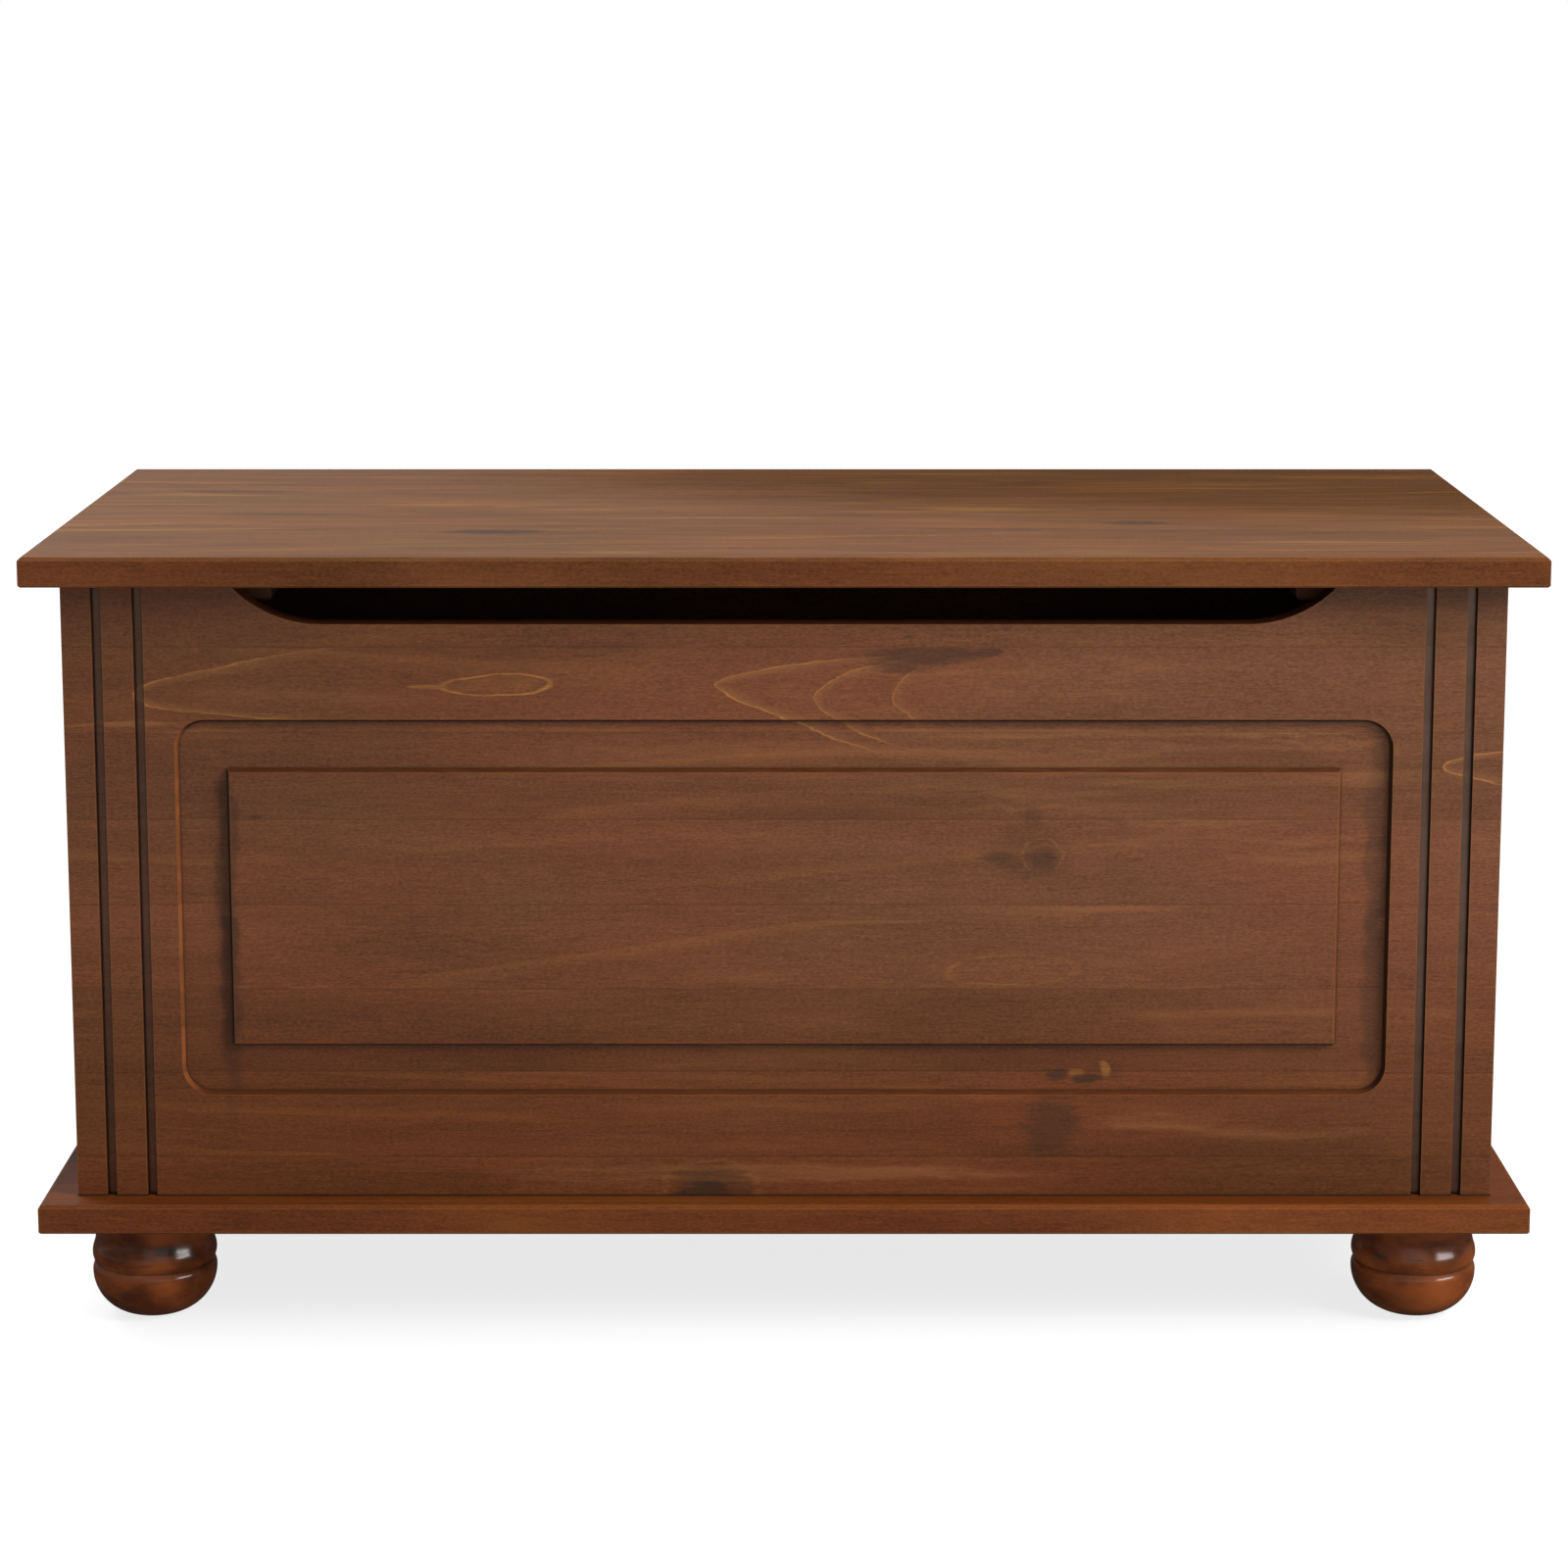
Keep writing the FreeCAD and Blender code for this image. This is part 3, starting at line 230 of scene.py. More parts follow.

# A paler streak on the front face of the base board, and a painted highlight along its front top
# edge.
BASE_PALE_AND_HIGHLIGHT = [
    Mark(0.2, -0.2132, 0.3, 0.006, 0.06),
    Mark(-0.3, -0.205, 0.24, 0.001, 0.4),
    Mark(-0.05, -0.202, 0.2, 0.0012, 0.35),
]

# Painted shade on the base board's top before the front wall on the right, darker along its front
# face on the left, and a painted shadow of the carcass, twice, at its left end.
BASE_PAINTED_SHADE = [
    Mark(0.25, -0.198, 0.26, 0.012, 0.55),
    Mark(-0.22, -0.214, 0.46, 0.008, 0.15),
    Mark(-0.443, 0.0, 0.03, 0.19, 1.0),
    Mark(-0.443, 0.0, 0.03, 0.18, 1.0),
]

# Marks of the lid, measured from the chest's middle to the right and to the back.
LID_FLAMES = [
    Flame(-0.183, 0.01, 0.05, 0.01, 2.0, 0.008, 1.8, 0.11, 0.85),
    Flame(-0.078, -0.008, 0.06, 0.007, 2.2, 0.006, 1.8, 0.12, 0.55),
    Flame(0.242, -0.173, 0.05, 0.008, 1.8, 0.007, 2.0, 0.09, 0.7),
    Flame(-0.418, -0.201, 0.03, 0.007, 1.9, 0.004, 1.8, 0.06, 0.6),
]

LID_KNOTS = [
    Mark(-0.365, 0.086, 0.05, 0.007, 0.62),
    Mark(-0.309, -0.028, 0.06, 0.007, 0.62),
    Mark(-0.178, -0.105, 0.036, 0.011, 0.75, rim=0.35),
    Mark(0.219, -0.066, 0.023, 0.009, 0.65, rim=0.35),
    Mark(0.03, 0.13, 0.02, 0.005, 0.35),
]

LID_GOLD = [
    Mark(-0.127, -0.006, 0.03, 0.003, 0.45),
]

LID_HONEY = [
    Mark(-0.03, -0.19, 0.16, 0.008, 0.25),
    Mark(-0.02, -0.003, 0.09, 0.0018, 0.6),
    Mark(0.105, 0.05, 0.12, 0.0022, 0.4),
    Mark(-0.29, 0.16, 0.08, 0.0022, 0.45),
    Mark(-0.21, -0.07, 0.11, 0.002, 0.4),
    Mark(0.31, -0.15, 0.1, 0.004, 0.6),
    Mark(0.25, 0.1, 0.09, 0.002, 0.35),
]

# Darker along the lid's front edge, and a wide painted shade over the back on the right.
LID_PAINTED_SHADE = [
    Mark(0.15, -0.214, 0.65, 0.004, 0.38),
    Mark(0.4, 0.27, 0.7, 0.37, 0.8),
]

# Marks of the back and the side boards, from the chest's middle and up from the floor.
BACK_FLAMES = [
    Flame(-0.16, 0.235, 0.09, 0.016, 1.8, 0.014, 1.9, 0.15, 0.6),
    Flame(0.18, 0.35, 0.08, 0.01, 2.0, 0.009, 1.8, 0.12, 0.5),
]
BACK_KNOTS = [
    Mark(-0.22, 0.31, 0.022, 0.011, 0.85, rim=0.5),
    Mark(0.27, 0.19, 0.017, 0.009, 0.8, rim=0.4),
    Mark(0.05, 0.41, 0.03, 0.006, 0.6),
]

SIDE_FLAMES = [
    Flame(-0.06, 0.265, 0.06, 0.013, 1.9, 0.014, 1.8, 0.11, 0.55),
]
SIDE_KNOTS = [
    Mark(0.045, 0.335, 0.018, 0.01, 0.85, rim=0.5),
    Mark(-0.105, 0.165, 0.02, 0.006, 0.7),
]


def sockets(row):
    """The row's values under the names of the sockets that they feed."""
    return {name.replace("_", " ").title(): value for name, value in row._asdict().items()}


def Colour(name, description, default, highest=1):
    return FloatVectorProperty(name=name, description=description, subtype="COLOR", size=3,
                               default=default, min=0, max=highest)


def Number(name, description, default, lowest=0, **kind):
    return FloatProperty(name=name, description=description, default=default, min=lowest, **kind)


def Length(*settings, **limit):
    return Number(*settings, **limit, unit="LENGTH")


def Share(*settings):
    return Number(*settings, subtype="FACTOR", max=1)


class ChestWood(bpy.types.PropertyGroup):
    """Colours and sizes of the stained pine."""

    umber: Colour("Umber", "Stain where the pine took most of it", (0.076, 0.0265, 0.0115))
    brown: Colour("Brown", "Stain over the plain early wood", (0.162, 0.0625, 0.0252))
    russet: Colour("Russet", "Redder clouds in the stain", (0.173, 0.0576, 0.0228))
    # Amber goes evenly over the back, the sides and the battens; more of it makes the front board
    # darker and warmer towards the bottom, and a little the lid's front face.
    amber: Colour(
        "Amber tint",
        "Tint of the thicker lacquer low on the chest and on the lid", (0.87, 0.7, 0.43))
    base_amber: Colour("Base tint", "Tint of the lacquer on the base board", (1.0, 0.7, 0.33))
    # Honey also colours painted light on the front board's upper field and a painted highlight
    # along the base board's front top edge.
    honey: Colour("Honey", "Paler streaks of early wood", (0.246, 0.106, 0.037))
    # Gold also colours the painted highlight on sharp edges.
    gold: Colour("Gold", "Hard late wood that took little stain", (0.36, 0.155, 0.033))
    # Knot also colours the painted shadows beside the routed walls.
    knot: Colour("Knot", "Heart of the knots", (0.026, 0.015, 0.009))
    # The colour of the painted shade in inner corners and on routed walls that face left or down.
    grime: Colour("Grime", "Stain and dust gathered in inner corners", (0.014, 0.0075, 0.0045))
    # The colour of the painted light on routed walls that face right.
    fresh: Colour("Fresh cut", "Routed walls that took the stain lightly", (0.29, 0.087, 0.02))
    cut: Colour("Cut wood", "Stain soaked into end grain and routed walls", (0.07, 0.0185, 0.0065))
    # The colour of the painted light on the flutes' floors.
    wax: Colour("Flute wax", "Dull wax left on the floors of the flutes", (0.25, 0.16, 0.115))
    faded: Colour(
        "Faded tint", "Tint of the lid's top, which has yellowed", (1.1, 1.14, 0.78), highest=2)
    # The tint of the painted shade where a board is made darker.
    soaked: Colour(
        "Soaked tint", "Tint where a board took a second coat of stain", (0.55, 0.52, 0.38))
    stave_width: Length(
        "Stave width", "Width of the glued staves of the walls", 0.0523, lowest=0.01)
    lid_stave_width: Length(
        "Lid stave width", "Width of the glued staves of the lid and base", 0.0502, lowest=0.01)
    # The reach of the painted highlight on sharp edges.
    arris: Length("Arris", "Radius over which sanded edges look paler", 0.0009)
    # The reach of the painted shade in inner corners.
    hollow: Length("Hollow", "How far from an inner corner the stain gathers darker", 0.0020)
    fibre_depth: Length("Fibre depth", "Depth of the grain felt through the lacquer", 0.00022)
    gloss_roughness: Share("Lacquer roughness", "Roughness of the satin lacquer", 0.48)
    sheen_level: Share("Lacquer shine", "Strength of reflections in the satin lacquer", 0.15)


class ChestTurning(bpy.types.PropertyGroup):
    """Colours of the turned feet."""

    dark: Colour("Dark", "Stain on the dense wood of the feet", (0.06, 0.015, 0.0042))
    red: Colour("Red", "Stain on the open wood of the feet", (0.225, 0.0565, 0.013))
    # Slate also colours the painted shade in the feet's grooves.
    slate: Colour("Slate", "Grey mineral streaks", (0.023, 0.017, 0.014))
    coat: Share("Lacquer coat", "Share of glossy lacquer over the feet", 0.42)


class ChestFittings(bpy.types.PropertyGroup):
    """Colours of the metal, beech and polymer fittings."""

    brass: Colour("Brass", "Rubbed brass", (0.5, 0.345, 0.15))
    patina: Colour("Patina", "Brown film on the brass", (0.205, 0.125, 0.055))
    zinc: Colour("Zinc", "Bright zinc plating", (0.56, 0.565, 0.56))
    zinc_dull: Colour("Dull zinc", "Handled zinc plating", (0.33, 0.33, 0.315))
    beech: Colour("Beech", "Bare beech of the dowels", (0.52, 0.32, 0.165))
    polymer: Colour("Polymer", "Soft dots under the lid", (0.33, 0.27, 0.21))


class ChestStudio(bpy.types.PropertyGroup):
    """Camera, lamps and floor."""

    camera_place: FloatVectorProperty(
        name="Camera place", description="Where the camera stands", subtype="TRANSLATION", size=3,
        default=(0.0, -2.457, 0.813))
    camera_tilt: FloatProperty(
        name="Camera tilt", description="How far the camera looks down from the horizon",
        subtype="ANGLE", default=math.radians(9.47))
    lens: Number("Lens", "Focal length in millimetres on a 36 mm sensor", 88.85, lowest=1)
    shift: FloatProperty(
        name="Lens shift", description="Vertical shift of the lens, in frame widths", default=-0.10)
    key_power: Number("Key lamp", "Power of the large lamp on the right, in watts", 112.0)
    shine_power: Number(
        "Shine lamp", "Power of the small lamp that only shows as a highlight, in watts", 36.0)
    fill_power: Number("Fill lamp", "Power of the broad lamp in front, in watts", 8.0)
    rear_power: Number("Rear lamp", "Power of the lamp behind on the left, in watts", 34.0)
    sky: Number("Sky", "Strength of the even light all round", 0.42)
    horizon: Share("Horizon", "How light the studio's left wall looks in reflections", 0.27)
    far_side: Share("Far side", "How light the studio's right wall looks in reflections", 0.05)
    floor: Colour("Floor", "Colour of the pale floor", (0.52, 0.52, 0.52))
    # The level of the shadow painted on the floor under the chest.
    shade: Share("Floor shade", "How light the floor stays in full shadow", 0.79)


class Graph:
    """Adds shader nodes to one tree and joins them."""

    def __init__(self, tree):
        self.tree = tree

    def feed(self, node, feeds):
        """Joins each named input to a socket, or sets it to a plain value."""
        for key, source in feeds.items():
            socket = node.inputs[key]
            if isinstance(source, bpy.types.NodeSocket):
                self.tree.links.new(source, socket)
            elif socket.type == "RGBA":
                socket.default_value = (*source, 1)
            else:
                socket.default_value = source

    def node(self, kind, feeds=None, **settings):
        node = self.tree.nodes.new(kind)
        for name, setting in settings.items():
            setattr(node, name, setting)
        self.feed(node, feeds or {})
        return node

    def group(self, name, feeds):
        return self.node("ShaderNodeGroup", feeds, node_tree=bpy.data.node_groups[name]).outputs

    def math(self, operation, *sources, clamp=False):
        return self.node("ShaderNodeMath", dict(enumerate(sources)), operation=operation,
                         use_clamp=clamp).outputs[0]

    def chain(self, operation, sources):
        result, *others = sources
        for source in others:
            result = self.math(operation, result, source)
        return result

    def times(self, *sources):
        return self.chain("MULTIPLY", sources)

    def largest(self, *sources):
        return self.chain("MAXIMUM", sources)

    def minus(self, first, second):
        return self.math("SUBTRACT", first, second)

    def over(self, first, second):
        return self.math("DIVIDE", first, second)

    def size(self, value):
        return self.math("ABSOLUTE", value)

    def scale(self, source, factor, base, clamp=False):
        """The source times the factor, added to the base."""
        return self.math("MULTIPLY_ADD", source, factor, base, clamp=clamp)

    def vary(self, base, source, amount, clamp=False):
        """Moves the base up and down as the source, from 0 to 1, moves about its middle."""
        return self.scale(self.minus(source, 0.5), amount, base, clamp)

    def distance(self, first, second):
        """Length of the line whose two legs are given."""
        return self.math("SQRT", self.scale(first, first, self.times(second, second)))

    def ease(self, value, start, end, low=0.0, high=1.0):
        """Goes smoothly from low at start to high at end."""
        return self.node("ShaderNodeMapRange", {0: value, 1: start, 2: end, 3: low, 4: high},
                         interpolation_type="SMOOTHSTEP").outputs[0]

    def mix(self, share, first, second, blend="MIX"):
        return self.node("ShaderNodeMix", {0: share, 6: first, 7: second}, data_type="RGBA",
                         blend_type=blend).outputs[2]

    def blend(self, share, first, second):
        return self.node("ShaderNodeMix", {0: share, 2: first, 3: second},
                         data_type="FLOAT").outputs[0]

    def vector(self, x, y, z):
        return self.node("ShaderNodeCombineXYZ", {0: x, 1: y, 2: z}).outputs[0]

    def vector_math(self, operation, *vectors):
        return self.node("ShaderNodeVectorMath", dict(enumerate(vectors)),
                         operation=operation).outputs

    def stretch(self, vector, scale):
        return self.vector_math("MULTIPLY", vector, scale)[0]

    def shift(self, vector, offset):
        return self.vector_math("ADD", vector, offset)[0]

    def noise(self, place, waves, detail=2.0, roughness=0.5, distortion=0.0):
        """Noise with so many waves per metre along each axis."""
        return self.node("ShaderNodeTexNoise", {
            "Vector": self.stretch(place, waves), "Scale": 1.0, "Detail": detail,
            "Roughness": roughness, "Distortion": distortion,
        }).outputs[0]


def socket_kind(label):
    return "NodeSocketVector" if label == "Place" else "NodeSocketFloat"


def new_group(name, inputs, outputs):
    """A shader node group with its sockets made; returns its graph, its inputs and its end node."""
    tree = bpy.data.node_groups.new(name, "ShaderNodeTree")
    for label, default in inputs.items():
        socket = tree.interface.new_socket(label, in_out="INPUT", socket_type=socket_kind(label))
        socket.default_value = default
    for label in outputs:
        tree.interface.new_socket(label, in_out="OUTPUT", socket_type=socket_kind(label))
    graph = Graph(tree)
    return graph, graph.node("NodeGroupInput").outputs, graph.node("NodeGroupOutput")


def grain_place_group():
    """Object place turned so that the grain runs along the first axis, and gently warped."""
    graph, start, end = new_group("Grain place", {
        "Along": 0.0, "Across": 0.0, "Through": 0.0, "Seed": 0.0, "Sway": 0.0016,
    }, ("Along", "Across", "Wobble", "Even Wobble", "Place"))
    place = graph.vector(start["Along"], start["Across"], start["Through"])
    seeded = graph.shift(place, graph.vector(start["Seed"], start["Seed"], start["Seed"]))
    slow = graph.noise(seeded, SWAY_WAVES, detail=1.0)
    sway = graph.times(graph.minus(slow, 0.5), start["Sway"])
    across = graph.scale(sway, 4.0, start["Across"])
    along = graph.scale(sway, 8.0, start["Along"])
    graph.feed(end, {
        "Along": along, "Across": across, "Place": graph.vector(along, across, start["Through"]),
        "Wobble": graph.noise(seeded, WOBBLE_WAVES, detail=3.0),
        "Even Wobble": graph.noise(seeded, EVEN_WOBBLE_WAVES, detail=1.5),
    })


def find_stave(graph, start):
    """How far across its glued stave a place lies, as a share, and the stave's random draw."""
    step = graph.over(graph.minus(start["Across"], start["Stave Shift"]), start["Stave Width"])
    draw = graph.node("ShaderNodeTexWhiteNoise", {
        "W": graph.math("ADD", graph.math("FLOOR", step), start["Seed"]),
    }, noise_dimensions="1D")
    return graph.math("FRACT", step), draw.outputs


def board_grain_group():
    """Glued staves with clouds of stain, fibres and sparse growth lines."""
    graph, start, end = new_group("Board grain", {
        "Place": ORIGIN, "Across": 0.0, "Stave Width": 0.05, "Stave Shift": 0.0, "Seed": 0.0,
        "Line Count": 7.0, "Contrast": 1.0,
    }, ("Tone", "Hue", "Streak", "Gold", "Line", "Fibre", "Seam"))
    share, draw = find_stave(graph, start)
    place = graph.shift(start["Place"], graph.stretch(draw["Color"], STAVE_SPREAD))
    cloud = graph.noise(place, CLOUD_WAVES, detail=2.5)
    streak = graph.noise(place, STREAK_WAVES, detail=3.0, roughness=0.55)
    fibre = graph.noise(place, FIBRE_WAVES, roughness=0.6)
    speck = graph.noise(place, SPECK_WAVES, detail=1.0)
    hue = graph.noise(start["Place"], HUE_WAVES)

    growth = graph.noise(place, GROWTH_WAVES, detail=0.3)
    ring = graph.math("FRACT", graph.times(growth, start["Line Count"]))
    line = graph.times(graph.ease(ring, 0.76, 0.96), graph.ease(ring, 1.0, 0.97))
    patchy = graph.ease(graph.noise(place, PATCH_WAVES, detail=1.0), 0.46, 0.66)

    tone = 0.0
    for source, amount in ((cloud, CLOUD_TONE), (streak, STREAK_TONE), (draw["Value"], STAVE_TONE)):
        tone = graph.vary(tone, source, amount)
    tone = graph.scale(tone, start["Contrast"], 0.5)
    tone = graph.vary(tone, fibre, FIBRE_TONE)
    tone = graph.vary(tone, speck, SPECK_TONE, clamp=True)
    edge = graph.math("MINIMUM", share, graph.minus(1.0, share))
    graph.feed(end, {
        "Tone": tone, "Hue": graph.ease(hue, 0.36, 0.64), "Streak": streak, "Fibre": fibre,
        "Gold": graph.times(graph.ease(streak, 0.52, 0.74), graph.ease(cloud, 0.50, 0.72)),
        "Line": graph.times(line, patchy), "Seam": graph.ease(edge, SEAM_SHARE, 0.0),
    })


def flame_group():
    """One pointed arch of late wood, open along the grain from its nose."""
    graph, start, end = new_group("Flame", {
        "Along": 0.0, "Across": 0.0, "Nose Along": 0.0, "Nose Across": 0.0, "Reach": 0.05,
        "Upper Spread": 0.02, "Upper Bend": 2.0, "Lower Spread": 0.02, "Lower Bend": 2.0,
        "Fade": 0.1, "Line Width": 0.0008, "Strength": 1.0, "Wobble": 0.5,
    }, ("Line", "Glow"))
    out = graph.minus(start["Along"], start["Nose Along"])
    rise = graph.minus(start["Across"], start["Nose Across"])
    upper = graph.math("GREATER_THAN", rise, 0.0)
    spread = graph.blend(upper, start["Lower Spread"], start["Upper Spread"])
    bend = graph.blend(upper, start["Lower Bend"], start["Upper Bend"])
    size = graph.size(rise)
    curve = graph.times(start["Reach"], graph.math("POWER", graph.over(size, spread), bend))
    slope = graph.over(graph.times(bend, curve), graph.largest(size, NOSE_SIZE))
    steep = graph.math("SQRT", graph.scale(slope, slope, 1.0))
    gap = graph.over(graph.minus(out, curve), steep)
    gap = graph.vary(gap, start["Wobble"], FLAME_WOBBLE)
    line = graph.ease(graph.size(gap), start["Line Width"], 0.0)
    inside = graph.math("GREATER_THAN", gap, 0.0)
    glow_width = graph.times(start["Line Width"], 9.0)
    glow = graph.times(graph.ease(gap, glow_width, 0.0), inside)
    fade = graph.ease(out, start["Fade"], graph.times(start["Fade"], 0.25))
    fade = graph.times(fade, start["Strength"])
    graph.feed(end, {"Line": graph.times(line, fade), "Glow": graph.times(glow, fade)})


def knot_group():
    """One knot or patch: an oval core and the ring round it."""
    graph, start, end = new_group("Knot", {
        "Along": 0.0, "Across": 0.0, "Wobble": 0.5, "Centre Along": 0.0, "Centre Across": 0.0,
        "Half Length": 0.02, "Half Height": 0.01, "Upper Limit": NO_LIMIT, "Core": 1.0,
        "Rim": 0.0, "Raggedness": 0.75,
    }, ("Core", "Rim"))
    out = graph.over(graph.minus(start["Along"], start["Centre Along"]), start["Half Length"])
    rise = graph.over(graph.minus(start["Across"], start["Centre Across"]), start["Half Height"])
    far = graph.vary(graph.distance(out, rise), start["Wobble"], start["Raggedness"])
    kept = graph.math("LESS_THAN", start["Across"], start["Upper Limit"])
    rim = graph.ease(graph.size(graph.minus(far, 1.05)), 0.13, 0.0)
    graph.feed(end, {
        "Core": graph.times(graph.ease(far, 1.15, 0.52), start["Core"], kept),
        "Rim": graph.times(rim, start["Rim"], kept),
    })


def cut_grain_group():
    """Growth rings where a board is sawn across, and how far a surface is such a cut."""
    graph, start, end = new_group("Cut grain", {
        "Across": 0.0, "Through": 0.0, "Normal Along": 0.0, "Normal Through": 0.0,
        "Stave Width": 0.05, "Stave Shift": 0.0, "Seed": 0.0, "Wobble": 0.5,
    }, ("Ring", "End", "Routed"))
    share, draw = find_stave(graph, start)
    out = graph.times(graph.minus(share, draw["Value"]), start["Stave Width"])
    deep = graph.math("ADD", start["Through"], HEART_DEPTH)
    far = graph.vary(graph.distance(out, deep), start["Wobble"], RING_WOBBLE)
    ring = graph.math("FRACT", graph.over(far, RING_WIDTH))
    graph.feed(end, {
        "Ring": graph.times(graph.ease(ring, 0.35, 0.92), graph.ease(ring, 1.0, 0.94)),
        "End": graph.ease(graph.size(start["Normal Along"]), 0.60, 0.85),
        "Routed": graph.ease(graph.size(start["Normal Through"]), 0.75, 0.45),
    })


def corner_shade_group():
    """How deep in a corner the surface lies, for painted shade there."""
    graph, start, end = new_group("Hollow", {"Reach": 0.003}, ("Depth",))
    open_share = graph.node("ShaderNodeAmbientOcclusion", {"Distance": start["Reach"]}, samples=8)
    graph.feed(end, {"Depth": graph.ease(open_share.outputs["AO"], 0.95, 0.60)})


def arris_group():
    """How near the surface is to a sharp outer edge."""
    graph, start, end = new_group("Arris", {"Radius": 0.001}, ("Edge",))
    rounded = graph.node("ShaderNodeBevel", {"Radius": start["Radius"]}, samples=4)
    true = graph.node("ShaderNodeNewGeometry").outputs["Normal"]
    dot = graph.vector_math("DOT_PRODUCT", rounded.outputs[0], true)["Value"]
    graph.feed(end, {"Edge": graph.ease(dot, 0.985, 0.90)})


def plating_group():
    """Handled metal: broad dull clouds, fine brushing along one axis and small pits."""
    graph, start, end = new_group("Plating", {"Place": ORIGIN, "Seed": 0.0},
                                  ("Cloud", "Brush", "Pit"))
    place = graph.shift(start["Place"], graph.vector(start["Seed"], 0.0, 0.0))
    cloud = graph.noise(place, (60, 60, 60), detail=3.0)
    pits = graph.noise(place, (900, 900, 900), detail=1.0)
    graph.feed(end, {
        "Cloud": graph.ease(cloud, 0.40, 0.66), "Brush": graph.noise(place, (90, 1500, 1500)),
        "Pit": graph.ease(pits, 0.63, 0.75),
    })


def new_material(name):
    material = bpy.data.materials.new(name)
    material.use_nodes = True
    graph = Graph(material.node_tree)
    shader = material.node_tree.nodes["Principled BSDF"]
    return material, graph, shader


def object_axes(graph, kind="Object"):
    place = graph.node("ShaderNodeTexCoord").outputs[kind]
    split = graph.node("ShaderNodeSeparateXYZ", {0: place})
    return place, {name: split.outputs[name] for name in "XYZ"}


def bump(graph, height, distance, strength=0.5):
    feeds = {"Height": height, "Distance": distance, "Strength": strength}
    return graph.node("ShaderNodeBump", feeds).outputs[0]


def darker(colour, share):
    return tuple(part * share for part in colour)


def put_on(material, *names):
    for name in names:
        NODES[name].data.materials.clear()
        NODES[name].data.materials.append(material)


def nodes_named(*starts):
    return [name for name in NODES if name.startswith(starts)]


